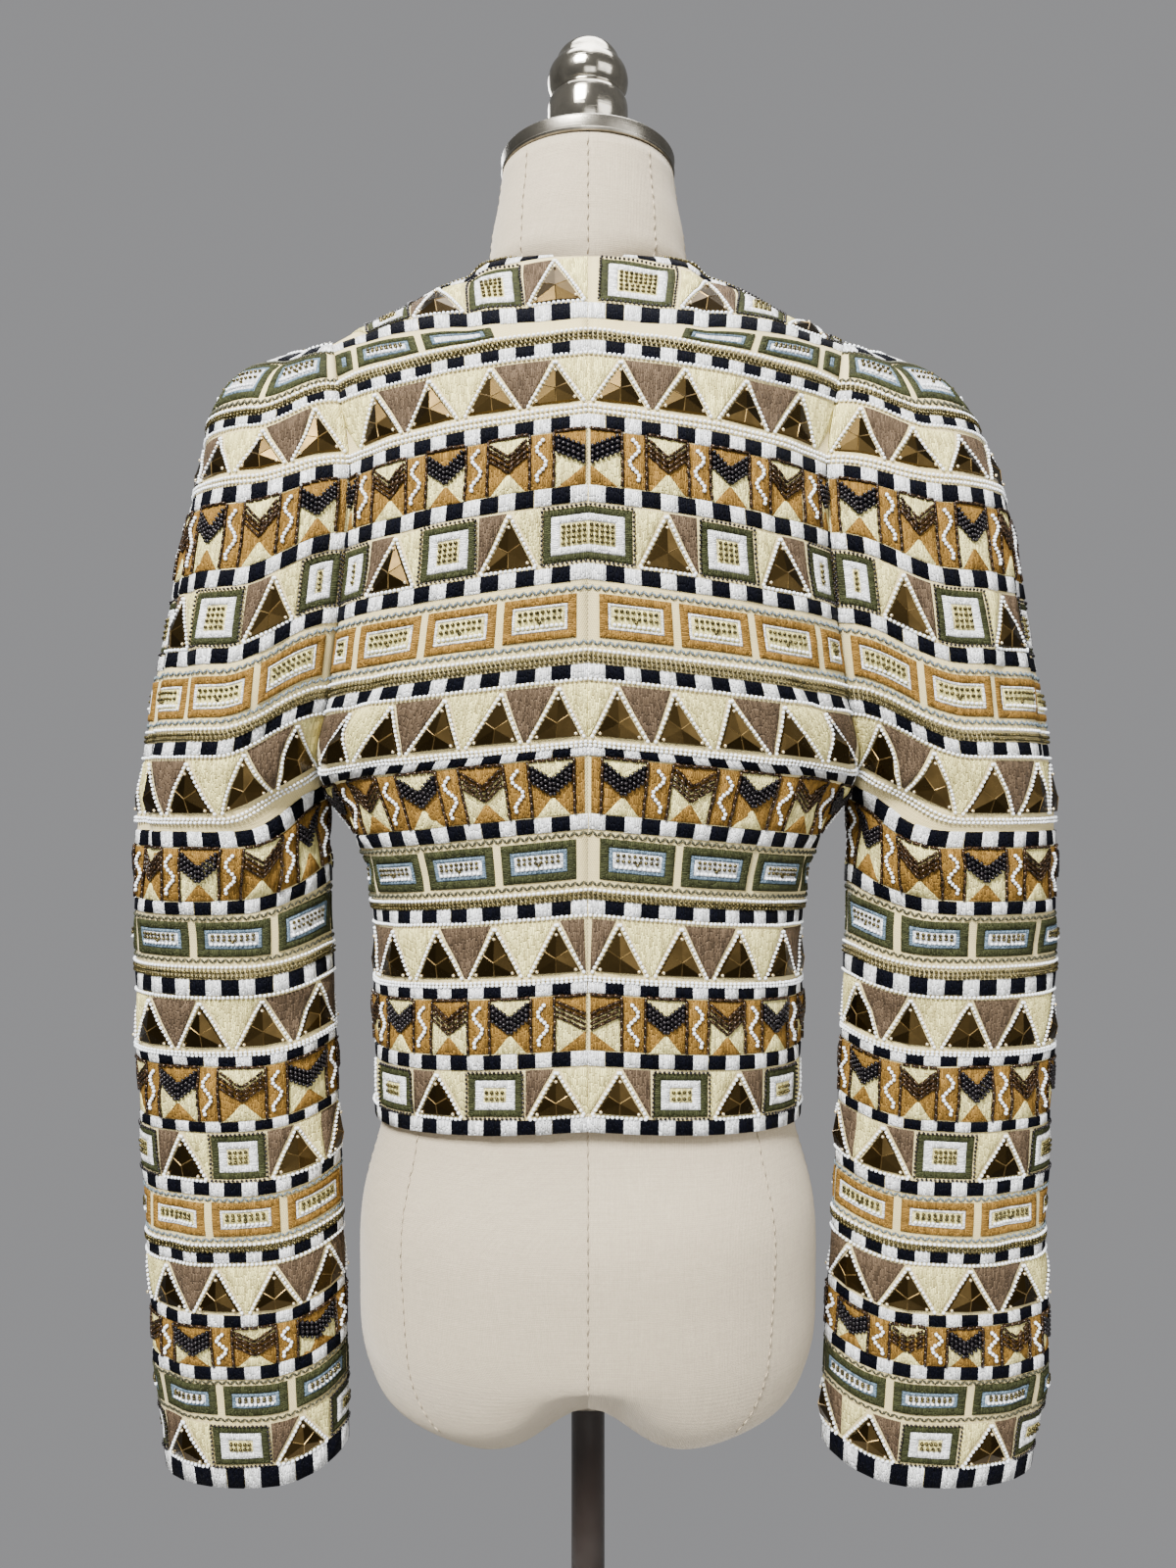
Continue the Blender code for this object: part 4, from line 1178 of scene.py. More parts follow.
def sew_double(strip, variant):
    """Two lines of white beads."""
    for h in (0.30, 0.78):
        strip.white_beads([(0.0, h), (strip.length, h)])


def sew_gold(strip, variant):
    """A line of white beads over two of gold beads."""
    strip.white_beads([(0.0, 0.84), (strip.length, 0.84)])
    for h in (0.50, 0.20):
        strip.gold_beads([(0.0, h), (strip.length, h)], 1.05)


def sew_points(strip, variant):
    """Studs side by side with triangles of thread hanging between them."""
    half = strip.half
    count = int(round(strip.length / half / 2)) if strip.ring else int(strip.length / half / 2) + 1
    other = "taupe" if variant == "cream" else "cream"
    low, high, tip, gap = 0.05, 0.965, 0.0006, 0.0018
    for i in range(count):
        first = 2 * half * i
        strip.stud(first, False)
        apex = first + 2 * half
        corners = [(apex - tip, low), (apex + tip, low), (apex + half - gap, high),
                   (apex - half + gap, high)]
        strip.patch(variant if i % 2 else other, corners, TRIANGLE_RISE)
    if not strip.ring:
        start = 0.0 if variant == "cream" else 0.0022
        strip.patch(variant, [(start * 0.5, 0.06), (start * 0.5 + tip, 0.06), (half - gap, high),
                              (start, high)], TRIANGLE_RISE)


def sew_frame(strip, thread, outer, bar_u, bar_h, rise, open_left=False):
    """A frame of satin stitch with mitred corners, open on the left where the seam cuts it.

    A block is its left, right, low and high. The frame is given by its outer one and gives its inner one.
    """
    left, right, low, high = outer
    inner = (left if open_left else left + bar_u, right - bar_u, low + bar_h, high - bar_h)
    a, b, c, d = block(*outer)
    in_a, in_b, in_c, in_d = block(*inner)
    quarter = math.pi / 2
    strip.patch(thread, [a, b, in_b, in_a], rise, sides=False)
    strip.patch(thread, [in_d, in_c, c, d], rise, sides=False)
    strip.patch(thread, [in_b, b, c, in_c], rise, quarter, ends=False)
    if not open_left:
        strip.patch(thread, [a, in_a, in_d, d], rise, quarter, ends=False)
    return inner


def sew_square(strip, left, right, open_left=False):
    """A white square in an olive frame, edged with small dark beads, with gold beads in its middle."""
    tall = strip.height((left + right) / 2)
    if tall < SQUARE_LEAST:
        return
    gap = SQUARE_GAP / tall
    outer = (left if open_left else left + SQUARE_GAP, right - SQUARE_GAP, 0.02 + gap, 0.98 - gap)
    inner = sew_frame(strip, "olive", outer, OLIVE_BAR, min(OLIVE_BAR_UP / tall, 0.15), 0.0007, open_left)
    core = sew_frame(strip, "white", inner, WHITE_BAR, min(WHITE_BAR_UP / tall, 0.165), 0.0009, open_left)
    strip.patch("cream", block(*core), FLAT_RISE)
    left, right, low, high = core
    rows = max(int(round((high - low) * tall / GOLD_ROW)), 1)
    for i in range(rows):
        h = low + (high - low) * (i + 0.6) / (rows + 0.2)
        strip.gold_beads([(left + 0.0004, h), (right - 0.0002, h)], 1.16)
    left, right, low, high = outer
    low, high = low - gap * 0.5, high + gap * 0.5
    outline = block(left, right + 0.0008, low, high)
    if not open_left:
        outline.append((left - 0.0008, low))
    strip.string("dark bead", outline, 0.0025, 0.00095, 0.0009, 0.0009)


def sew_stud_cell(strip, left):
    """A stud outlined in beads between two half triangles of thread."""
    right, middle = left + 2 * strip.half, left + strip.half
    low, high, start, tip, gap = 0.08, 0.97, 0.0002, 0.0007, 0.0016
    strip.patch("cream", [(left + start, low), (left + tip, low), (middle - gap, high),
                          (left + start, high)], TRIANGLE_RISE)
    strip.patch("taupe", [(right - tip, low), (right - start, low), (right - start, high),
                          (middle + gap, high)], TRIANGLE_RISE)
    strip.stud(left, True)


def sew_cells_and_squares(strip, first, room):
    """Stud cells and squares in turn, each square where there is room for so many half pitches."""
    half = strip.half
    while first < strip.length:
        sew_stud_cell(strip, first)
        if first + room * half < strip.length:
            sew_square(strip, first + 2 * half, min(first + 4 * half, strip.length - 0.0005))
        first += 4 * half


def sew_squares(strip, variant):
    """Squares with studs between them, a square on the centre seam."""
    half = strip.half
    if strip.ring:
        count = 2 * round(strip.length / STUD_PITCH)
        for i in range(1, count, 4):
            sew_stud_cell(strip, half * i)
            if i + 2 < count:
                sew_square(strip, half * (i + 2), half * (i + 4))
        return
    on_seam = strip.surface.closed_below is None
    sew_square(strip, 0.0 if on_seam else 0.0005, 1.5 * half, on_seam)
    sew_cells_and_squares(strip, 1.5 * half, 2.6)


def sew_hem(strip, variant):
    """Studs beside the centre seam, or one square first, then squares and studs in turn."""
    first = 0.0
    if variant == "square first":
        sew_square(strip, 0.0050, 0.0480)
        first = 0.0495
    sew_cells_and_squares(strip, first, 2.5)


def sew_rectangles(strip, variant):
    """Framed rectangles with gold beads in them, between two zigzags of thread."""
    width, pitch, start = RECTANGLE_WIDTH, RECTANGLE_PITCH, RECTANGLE_START
    if strip.ring:
        count = round(strip.length / pitch)
        pitch = strip.length / count
        width = pitch - RECTANGLE_GAP
        start = RING_START
    else:
        count = int(strip.length / pitch) + 1
    kind = RECTANGLES[variant]
    if strip.height(strip.length * 0.05) > ZIGZAG_LEAST:
        for h in ZIGZAG_ROWS:
            strip.zigzag(kind.zigzag, h, ZIGZAG_SWING, ZIGZAG_TOOTH)
    for i in range(count):
        left = start + i * pitch
        right = left + width
        if not strip.ring:
            right = min(right, strip.length - 0.001)
        if right - left < LEAST_WIDTH:
            continue
        tall = strip.height((left + right) / 2)
        if tall < LEAST_TALL:
            continue
        low, high = TALL_HEIGHTS if tall > TALL_BAND else LOW_HEIGHTS
        slack = strip.work.random.uniform(-RECTANGLE_SLACK, RECTANGLE_SLACK, 2)
        outer = (left, right, low + slack[0], high + slack[1])
        framed = sew_frame(strip, variant, outer, FRAME_BAR, min(FRAME_BAR_UP / tall, 0.2), 0.0009)
        inner = sew_frame(strip, kind.lining, framed, kind.line, min(kind.line / tall, 0.075), 0.0006)
        strip.patch(kind.ground, block(*inner), FLAT_RISE)
        left, right, low, high = inner
        room = high - low
        if room * tall < LEAST_ROOM:
            continue
        for share in (0.82, 0.50):
            h = low + room * share
            strip.gold_beads([(left + 0.0012, h), (right - 0.0010, h)], 1.30)
        middle = (left + right) / 2
        strip.gold_beads([(middle, low + room * 0.42), (middle, low + room * 0.24)], 1.0)
        h = low + room * 0.13
        strip.white_beads([(left + 0.0006, h), (right - 0.0006, h)])


def sew_chevron_cell(strip, left, right, dark, ochre_top, whole=True):
    """A cell with four rows of beads in a V, or only its right half beside the seam."""
    middle, foot = ((left + right) / 2, left + 0.0015) if whole else (left, left)
    top, sides = ("ochre", "cream") if ochre_top else ("cream", "ochre")

    def satin_v(thread, at_ends, at_middle, rise):
        """A V of satin stitch between two shares of the height, at its ends and at its middle."""
        low_left, high_left = (left, at_ends[0]), (left, at_ends[1])
        low_middle, high_middle = (middle, at_middle[0]), (middle, at_middle[1])
        if whole:
            strip.patch(thread, [low_left, low_middle, high_middle, high_left], rise, sides=False)
        strip.patch(thread, [low_middle, (right, at_ends[0]), (right, at_ends[1]), high_middle], rise,
                    sides=False)

    strip.patch(sides, block(left, right, 0.02, 0.90), FLAT_RISE)
    strip.patch(top, [(foot, 0.015), (right - 0.0015, 0.015), (middle + 0.0005, 0.34),
                      (max(middle - 0.0005, left), 0.34)], 0.0008)
    satin_v(top, (0.80, 0.985), (0.56, 0.985), 0.0007)
    step = CHEVRON_ROW / strip.height(middle)
    if dark:
        end, low, deep = 0.935, 0.675, 3.3 * step
        satin_v("navy", (end - deep, end), (low - deep, low), 0.0011)
    sew = strip.dark_beads if dark else strip.bugles
    for row in range(4):
        end, low = 0.905 - row * step, 0.645 - row * step
        if whole:
            sew([(left + 0.0008, end), (middle, low)])
        sew([(middle, low), (right - 0.0008, end)])
    strip.bugles([(left, 0.985), (right, 0.985)])


def sew_squiggle(strip, left, right):
    """An ochre panel edged with bugles, with a squiggle of white beads."""
    strip.patch("ochre", block(left, right, *PANEL_HEIGHTS), 0.0006)
    for u in (left, right):
        strip.bugles([(u, h) for h in PANEL_HEIGHTS])
    low, high, sway, turns = 0.13, 0.87, 0.0027, 1.5
    h = np.linspace(low, high, 13)
    u = (left + right) / 2 + sway * np.sin(2 * math.pi * turns * (h - low) / (high - low) + 0.6)
    long, wide = bead_sizes().white_length, bead_sizes().white_width
    strip.string("white bead", np.stack([u, h], axis=-1), long * 0.98, long * 0.50, wide * 0.58, 0.0014)


def sew_chevrons(strip, variant):
    """Cells of bead chevrons and ochre panels in turn."""
    if strip.ring:
        count = 2 * round(strip.length / (CELL + PANEL) / 2)
        cell = strip.length / count - PANEL
        for i in range(count):
            left = i * (cell + PANEL)
            sew_squiggle(strip, left + PANEL_INSET, left + PANEL - PANEL_INSET)
            sew_chevron_cell(strip, left + PANEL, left + PANEL + cell, i % 2 == 0, i % 2 == 0)
        return
    dark = variant != "bugle cell"
    ochre_top = variant != "strip"
    if variant == "strip" or strip.surface.closed_below is not None:
        strip.patch("ochre", block(*SEAM_STRIP, *PANEL_HEIGHTS), 0.0005)
        strip.bugles([(STRIP_LINE, h) for h in PANEL_HEIGHTS])
        left = AFTER_STRIP
    else:
        sew_chevron_cell(strip, *HALF_CELL, dark, ochre_top, whole=False)
        sew_squiggle(strip, AFTER_HALF_CELL, AFTER_HALF_CELL + PANEL)
        dark, ochre_top = not dark, not ochre_top
        left = AFTER_HALF_CELL + PANEL + CELL_GAP
    while left < strip.length - LEAST_CELL:
        right = min(left + CELL, strip.length - SEAM_GAP)
        sew_chevron_cell(strip, left, right, dark, ochre_top)
        if right + LEAST_CELL < strip.length:
            sew_squiggle(strip, right + PANEL_INSET, min(right + PANEL, strip.length - SEAM_GAP))
        left = right + PANEL + CELL_GAP
        dark, ochre_top = not dark, not ochre_top


WORKS = {
    "checks": sew_checks,
    "single": sew_single,
    "double": sew_double,
    "gold": sew_gold,
    "points": sew_points,
    "squares": sew_squares,
    "hem": sew_hem,
    "rectangles": sew_rectangles,
    "chevrons": sew_chevrons,
}


# Materials


class Tree:
    """Adds and links nodes of a material, group or world."""

    def __init__(self, tree):
        self.tree = tree

    def put(self, socket, value):
        """Links a socket to another or sets its value."""
        if isinstance(value, bpy.types.NodeSocket):
            self.tree.links.new(value, socket)
        else:
            socket.default_value = value

    def feed(self, node, **inputs):
        """Feeds a node's inputs, named with _ for a space."""
        for name, value in inputs.items():
            self.put(node.inputs[name.replace("_", " ")], value)

    def node(self, kind, settings=None, **inputs):
        made = self.tree.nodes.new(kind)
        for name, value in (settings or {}).items():
            setattr(made, name, value)
        self.feed(made, **inputs)
        return made

    def group(self, make, name, **inputs):
        """Outputs of a node group, which is made once."""
        made = self.node("ShaderNodeGroup", {"node_tree": bpy.data.node_groups.get(name) or make(name)})
        self.feed(made, **inputs)
        return made.outputs

    def math(self, operation, *values):
        made = self.node("ShaderNodeMath", {"operation": operation})
        for socket, value in zip(made.inputs, values):
            self.put(socket, value)
        return made.outputs[0]

    def scaled(self, value, factor, start=0.0):
        """A value times a factor, on top of a start."""
        product = self.math("MULTIPLY", value, factor)
        return self.math("ADD", start, product) if start else product

    def mix(self, share, low, high):
        """A colour between two."""
        made = self.node("ShaderNodeMix", {"data_type": "RGBA"})
        for index, value in ((0, share), (6, low), (7, high)):
            self.put(made.inputs[index], value)
        return made.outputs[2]

    def noise(self, vector, scale, detail, **more):
        made = self.node("ShaderNodeTexNoise", Vector=vector, Scale=scale, Detail=detail, **more)
        return made.outputs["Fac"]

    def stretched(self, vector, scale):
        return self.node("ShaderNodeMapping", Vector=vector, Scale=scale).outputs[0]

    def spread(self, value, low, high):
        """0 to 1 while a value goes from low to high."""
        return self.node("ShaderNodeMapRange", Value=value, From_Min=low, From_Max=high).outputs[0]

    def along_cloth(self):
        """Metres along and up the piece's own cloth."""
        return self.node("ShaderNodeUVMap", {"uv_map": "UVMap"}).outputs[0]

    def in_space(self):
        return self.node("ShaderNodeTexCoord").outputs["Object"]

    def marks(self, place, scale):
        """Mask of cloudy marks."""
        return self.group(wear_group, "Cloudy marks", Vector=place, Scale=scale)["Mask"]


def new_group(name, given, made):
    """A node group with named inputs and outputs, its tree and what it is given."""
    group = bpy.data.node_groups.new(name, "ShaderNodeTree")
    for way, sockets in (("INPUT", given), ("OUTPUT", made)):
        for socket in sockets:
            kind = "NodeSocketVector" if socket == "Vector" else "NodeSocketFloat"
            group.interface.new_socket(socket, in_out=way, socket_type=kind)
    tree = Tree(group)
    return group, tree, tree.node("NodeGroupInput").outputs


def thread_group(name):
    """Rows of stitches on a vector in metres: Tone differs from stitch to stitch, Height is their relief."""
    group, tree, given = new_group(name, ("Vector", "Width", "Length"), ("Tone", "Height"))
    sway = tree.node("ShaderNodeTexNoise", {"noise_dimensions": "2D"}, Vector=given["Vector"], Scale=260.0,
                     Detail=1.0).outputs["Fac"]
    parts = tree.node("ShaderNodeSeparateXYZ", Vector=given["Vector"]).outputs
    sideways = tree.scaled(tree.math("SUBTRACT", sway, 0.5), 0.0012)
    x = tree.math("DIVIDE", tree.math("ADD", parts["X"], sideways), given["Width"])
    thread = tree.math("FLOOR", x)
    offset = tree.node("ShaderNodeTexWhiteNoise", {"noise_dimensions": "1D"}, W=thread).outputs["Value"]
    y = tree.math("ADD", tree.math("DIVIDE", parts["Y"], given["Length"]), offset)
    key = tree.node("ShaderNodeCombineXYZ", X=thread, Y=tree.math("FLOOR", y), Z=0.0).outputs[0]
    tone = tree.node("ShaderNodeTexWhiteNoise", {"noise_dimensions": "2D"}, Vector=key).outputs["Value"]
    round_off, end_off = (
        tree.math("SUBTRACT", 1.0, tree.math("POWER", tree.math("ABSOLUTE", tree.scaled(
            tree.math("FRACT", at), 2.0, -1.0)), power)) for at, power in ((x, 2.0), (y, 6.0)))
    lift = tree.math("MULTIPLY", tree.math("SQRT", tree.math("MAXIMUM", round_off, 0.0)), end_off)
    tree.node("NodeGroupOutput", Tone=tone, Height=tree.math("ADD", lift, tree.scaled(tone, 0.35)))
    return group


def weave_group(name):
    """Twill or plain weave on a vector in metres: Height is the relief and Slub the thicker threads."""
    group, tree, given = new_group(name, ("Vector", "Threads", "Slope"), ("Height", "Slub"))
    parts = tree.node("ShaderNodeSeparateXYZ", Vector=given["Vector"]).outputs
    warp = tree.math("MULTIPLY", parts["X"], given["Threads"])
    weft = tree.math("MULTIPLY", parts["Y"], given["Threads"])
    slant = tree.math("ADD", warp, tree.math("MULTIPLY", weft, given["Slope"]))
    ribs = tree.math("SINE", tree.scaled(slant, 2 * math.pi))
    picks = tree.math("SINE", tree.scaled(weft, 2 * math.pi))
    slubs = [tree.noise(tree.stretched(given["Vector"], scale), 1.0, 1.5)
             for scale in ((900.0, 60.0, 60.0), (60.0, 900.0, 900.0))]
    slub = tree.scaled(tree.math("ADD", *slubs), 0.5)
    relief = tree.math("ADD", ribs, tree.scaled(picks, 0.5))
    tree.node("NodeGroupOutput", Height=tree.math("ADD", tree.scaled(relief, 0.3), slub), Slub=slub)
    return group


def wear_group(name):
    """Cloudy marks on a vector: Mask is 1 where a surface is dull or handled."""
    group, tree, given = new_group(name, ("Vector", "Scale"), ("Mask",))
    cloud = tree.noise(given["Vector"], given["Scale"], 5.0, Roughness=0.6)
    tree.node("NodeGroupOutput", Mask=tree.spread(cloud, 0.38, 0.66))
    return group


def shade(base, share):
    """A colour made darker or lighter, for a node's socket."""
    return (*(min(part * share, 1.0) for part in base), 1.0)


def new_material(name, base):
    """An empty Principled material, its tree and its shader."""
    made = bpy.data.materials.new(name)
    made.use_nodes = True
    made.diffuse_color = shade(base, 1.0)
    return made, Tree(made.node_tree), made.node_tree.nodes["Principled BSDF"]


def finish(tree, shader, height=None, distance=0.0, **inputs):
    """Feeds the shader, with a relief of a height and a distance in metres."""
    if height is not None:
        raised = tree.node("ShaderNodeBump", Height=height, Distance=distance, Strength=1.0)
        inputs["Normal"] = raised.outputs[0]
    tree.feed(shader, **inputs)


def thread_material(name, base):
    """Thread laid in stitches, each a little lighter or darker."""
    made, tree, shader = new_material(name, base)
    work = tree.group(thread_group, "Thread work", Vector=tree.along_cloth(), Width=THREAD_WIDTH,
                      Length=STITCH_LENGTH)
    marks = tree.marks(tree.in_space(), 34.0)
    tone = tree.mix(work["Tone"], shade(base, 0.52), shade(base, 1.26))
    finish(tree, shader, work["Height"], 0.00080,
           Base_Color=tree.mix(tree.scaled(marks, 0.20), tone, shade(base, 0.72)),
           Roughness=tree.scaled(work["Tone"], 0.25, 0.52), Specular_IOR_Level=0.06)
    return made


def twill_material(name, base):
    """Cream twill ground."""
    made, tree, shader = new_material(name, base)
    weave = tree.group(weave_group, "Weave", Vector=tree.along_cloth(), Threads=820.0, Slope=0.55)
    marks = tree.marks(tree.in_space(), 22.0)
    tone = tree.mix(weave["Slub"], shade(base, 0.80), shade(base, 1.16))
    finish(tree, shader, weave["Height"], 0.00022,
           Base_Color=tree.mix(tree.scaled(marks, 0.25), tone, shade(base, 0.78)),
           Roughness=0.86, Sheen_Weight=0.15)
    return made


def linen_material(name, base):
    """Heathered linen stretched over the dress form."""
    made, tree, shader = new_material(name, base)
    place = tree.in_space()
    weave = tree.group(weave_group, "Weave", Vector=tree.along_cloth(), Threads=1050.0, Slope=0.0)
    marks = tree.marks(place, 9.0)
    fleck = tree.spread(tree.noise(place, 950.0, 2.0), 0.40, 0.66)
    tone = tree.mix(weave["Slub"], shade(base, 0.70), shade(base, 1.22))
    tone = tree.mix(tree.scaled(fleck, 0.30), tone, shade(base, 0.62))
    finish(tree, shader, weave["Height"], 0.00018,
           Base_Color=tree.mix(tree.scaled(marks, 0.12), tone, shade(base, 0.85)),
           Roughness=0.92, Sheen_Weight=0.18)
    return made


def glass_bead_material(name, base, roughness, metallic, other, specular=0.5):
    """Small beads, whose colour is mixed with a second one in patches of noise: a colour that differs a
    little from bead to bead, and for gold beads, dark beads and bugles a much lighter one, a painted glint.
    """
    made, tree, shader = new_material(name, base)
    share = tree.spread(tree.noise(tree.in_space(), 900.0, 1.0), 0.42, 0.62)
    # Where the noise is high the second colour shows; on gold beads, dark beads and bugles it is a painted
    # glint
    finish(tree, shader, Base_Color=tree.mix(share, shade(base, 1.0), shade(other, 1.0)),
           Roughness=roughness, Metallic=metallic, Specular_IOR_Level=specular)
    return made


def stud_material(name, base, roughness):
    """Pressed bronze with a little darker patina."""
    made, tree, shader = new_material(name, base)
    place = tree.in_space()
    marks = tree.marks(place, 90.0)
    finish(tree, shader, tree.noise(place, 300.0, 2.0), 0.00002,
           Base_Color=tree.mix(marks, shade(base, 1.15), shade(base, 0.80)),
           Metallic=1.0, Roughness=tree.scaled(marks, 0.05, roughness))
    return made


def plated_material(name, base, roughness):
    """Plated metal with clouds of wear and fine turning marks."""
    made, tree, shader = new_material(name, base)
    place = tree.in_space()
    marks = tree.marks(place, 60.0)
    turned = tree.noise(tree.stretched(place, (30.0, 30.0, 2600.0)), 1.0, 2.0)
    finish(tree, shader, turned, 0.00006,
           Base_Color=tree.mix(marks, shade(base, 1.12), shade(base, 0.55)),
           Metallic=1.0, Roughness=tree.scaled(marks, 0.12, roughness))
    return made


def lacquer_material(name, base):
    """Glossy black-brown paint with faint dust."""
    made, tree, shader = new_material(name, base)
    place = tree.in_space()
    marks = tree.marks(place, 26.0)
    finish(tree, shader, tree.noise(place, 700.0, 2.0), 0.00003,
           Base_Color=tree.mix(tree.scaled(marks, 0.20), shade(base, 0.7), (0.040, 0.032, 0.027, 1.0)),
           Roughness=tree.scaled(marks, 0.10, 0.16), Coat_Weight=0.2)
    return made


def floor_material(name):
    """Plain pale floor with faint clouds."""
    made, tree, shader = new_material(name, (0.55, 0.55, 0.55))
    cloud = tree.noise(tree.in_space(), 2.5, 4.0)
    finish(tree, shader, Base_Color=tree.mix(cloud, (0.50, 0.50, 0.50, 1.0), (0.58, 0.58, 0.58, 1.0)),
           Roughness=0.8)
    return made


def kept_material(name, make, *values):
    """A material that is made once and kept by name."""
    return bpy.data.materials.get(name) or make(name, *values)


def needle_materials():
    """Materials of all threads, beads and studs."""
    cloth = bpy.context.scene.jacket_cloth
    bronze = bead_sizes().stud
    made = {thread: kept_material(f"{thread.capitalize()} thread", thread_material, getattr(cloth, thread))
            for thread in THREADS}
    # Colour, roughness, metallic and second colour of each kind of bead; for gold beads, dark beads and
    # bugles the second colour is a painted glint
    finishes = {
        "white bead": ((0.86, 0.88, 0.90), 0.22, 0.0, (0.74, 0.77, 0.80)),
        "gold bead": ((0.020, 0.016, 0.003), 0.20, 0.7, (0.120, 0.092, 0.026)),
        "dark bead": ((0.002, 0.0018, 0.002), 0.08, 0.1, (0.022, 0.018, 0.020), 0.20),
        "bugle": ((0.006, 0.003, 0.0015), 0.10, 0.3, (0.050, 0.027, 0.012), 0.20),
        "sewing bead": ((0.62, 0.47, 0.25), 0.25, 0.7, (0.80, 0.70, 0.48)),
        "grey stitch": ((0.075, 0.100, 0.115), 0.7, 0.0, (0.13, 0.165, 0.185)),
        "olive stitch": ((0.018, 0.018, 0.007), 0.7, 0.0, (0.036, 0.036, 0.015)),
    }
    for kind, values in finishes.items():
        made[kind] = kept_material(kind.capitalize() + "s", glass_bead_material, *values)
    made["stud"] = kept_material("Bronze stud", stud_material, bronze, 0.26)
    # Ridges of the studs: bronze 3.4 times lighter, a painted highlight along the crests of the facets
    made["ridge"] = kept_material("Rubbed ridge", stud_material, tuple(part * 3.4 for part in bronze), 0.34)
    made["ground"] = kept_material("Cream twill", twill_material, cloth.ground)
    return made


# Pieces


def settle(piece, node=None):
    """Makes a piece ride on the part's one body, in the place of a node if it has one."""
    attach(piece, BODY)
    if node:
        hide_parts(node)
    return piece


def cloth_piece(name, surface, bands, up, seed):
    """A panel of cloth, which replaces the node of its name, with everything that is sewn on it."""
    materials = needle_materials()
    shell = surface_shell(surface, f"{name}_cloth", materials["ground"], int(surface.columns * 0.88), up)
    wall = shell.modifiers.new("Wall", "SOLIDIFY")
    wall.thickness = bpy.context.scene.jacket_cloth.wall
    wall.offset = -1.0
    work = Needlework(surface, seed)
    for band in bands:
        WORKS[band.work](Strip(work, band), band.variant)
    small = BEADS[1:]
    pieces = [
        settle(work.thread_piece(f"{name}_embroidery", [materials[thread] for thread in THREADS])),
        settle(work.bead_piece(f"{name}_white_beads", BEADS[:1], [materials["white bead"]])),
        settle(work.bead_piece(f"{name}_small_beads", small, [materials[kind] for kind in small])),
        settle(work.stud_piece(f"{name}_studs", [materials["stud"], materials["ridge"]])),
    ]
    settle(shell, name)


def turned_piece(name, profile, material, node, sharp=40.0):
    """A turned piece: its profile of radius and height spun round the upright axis."""
    bm = bmesh.new()
    points = [(0.0, profile[0][1])] + list(profile) + [(0.0, profile[-1][1])]
    verts = [bm.verts.new((radius, 0.0, height)) for radius, height in points]
    edges = [bm.edges.new(pair) for pair in zip(verts, verts[1:])]
    bmesh.ops.spin(bm, geom=verts + edges, cent=(0, 0, 0), axis=(0, 0, 1), angle=2 * math.pi,
                   steps=TURNED_STEPS, use_merge=True)
    bmesh.ops.remove_doubles(bm, verts=bm.verts, dist=1e-6)
    bmesh.ops.recalc_face_normals(bm, faces=bm.faces)
    made = settle(bmesh_object(bm, name, material), node)
    made.data.set_sharp_from_angle(angle=math.radians(sharp))


def rounded(profile, steps):
    """A smooth curve through the points of a profile."""
    run = run_along(np.array(profile), 0)
    at = np.unique(np.concatenate([np.linspace(a, b, steps + 1) for a, b in zip(run[:-1], run[1:])]))
    return list(zip(*(smooth_curve(run, values, at) for values in zip(*profile))))


def form_surface():
    """The dress form's surface: the level runs up its profile and the share goes round from the back."""
    first = FORM_ROWS[0]
    rows = [first._replace(height=FORM_BOTTOM + FORM_NOTCH, half=SEAT_RADIUS, back=SEAT_RADIUS,
                           front=SEAT_RADIUS)]
    for scale, height in ((0.35, FORM_BOTTOM), (0.75, FORM_BOTTOM + 0.002)):
        rows.append(first._replace(height=height, half=first.half * scale, back=first.back * scale,
                                   front=first.front * scale))
    rows += FORM_ROWS
    steps = [math.hypot(b.height - a.height, b.half - a.half) for a, b in zip(rows, rows[1:])]
    levels = np.concatenate([[0.0], np.cumsum(steps)])

    def surface(level, share):
        level, share = np.broadcast_arrays(np.asarray(level, float), np.asarray(share, float))
        values = {name: smooth_curve(levels, [getattr(row, name) for row in rows], level)
                  for name in FormRow._fields}
        angle = 2 * math.pi * share
        across, through = np.sin(angle), np.cos(angle)
        power = 2 / values["power"]
        x = np.sign(across) * values["half"] * np.abs(across) ** power
        depth = np.where(through > 0, values["back"], values["front"])
        y = -np.sign(through) * depth * np.abs(through) ** power
        low = 1 - smoothstep(FORM_BOTTOM + 0.02, FORM_BOTTOM + 0.07, values["height"])
        ringed = level > levels[1] * 0.5
        notch = np.where(ringed, FORM_NOTCH * np.exp(-((x / FORM_NOTCH_HALF) ** 2)) * low, 0.0)
        return np.stack([x, y, values["height"] + notch], axis=-1)

    return surface, levels[-1]


# Operators


class JACKET_OT_torso(bpy.types.Operator):
    """Builds the two backs and the two fronts with their embroidery"""

    bl_idname = "jacket.torso"
    bl_label = "Backs and fronts"

    def execute(self, context):
        levels = np.linspace(HEM_HEIGHT, TOP_ROW, 196)
        seed = 11
        square_first = [band._replace(variant="square first")
                        if band.work == "hem" and band.low > CAP_ROW else band for band in TORSO_BANDS]
        for face, face_name in ((BACK, "back"), (FRONT, "front")):
            for side, side_name in ((-1, "left"), (1, "right")):
                surface = Surface(torso_half(face, side), levels, 50, -face * side, torso_fan(face), None,
                                  TORSO_CREASES, FAN_TOP)
                name = f"{face_name}_{side_name}"
                bands = square_first if name == "back_right" else TORSO_BANDS
                cloth_piece(name, surface, bands, 116, seed)
                seed += 1
        return {"FINISHED"}


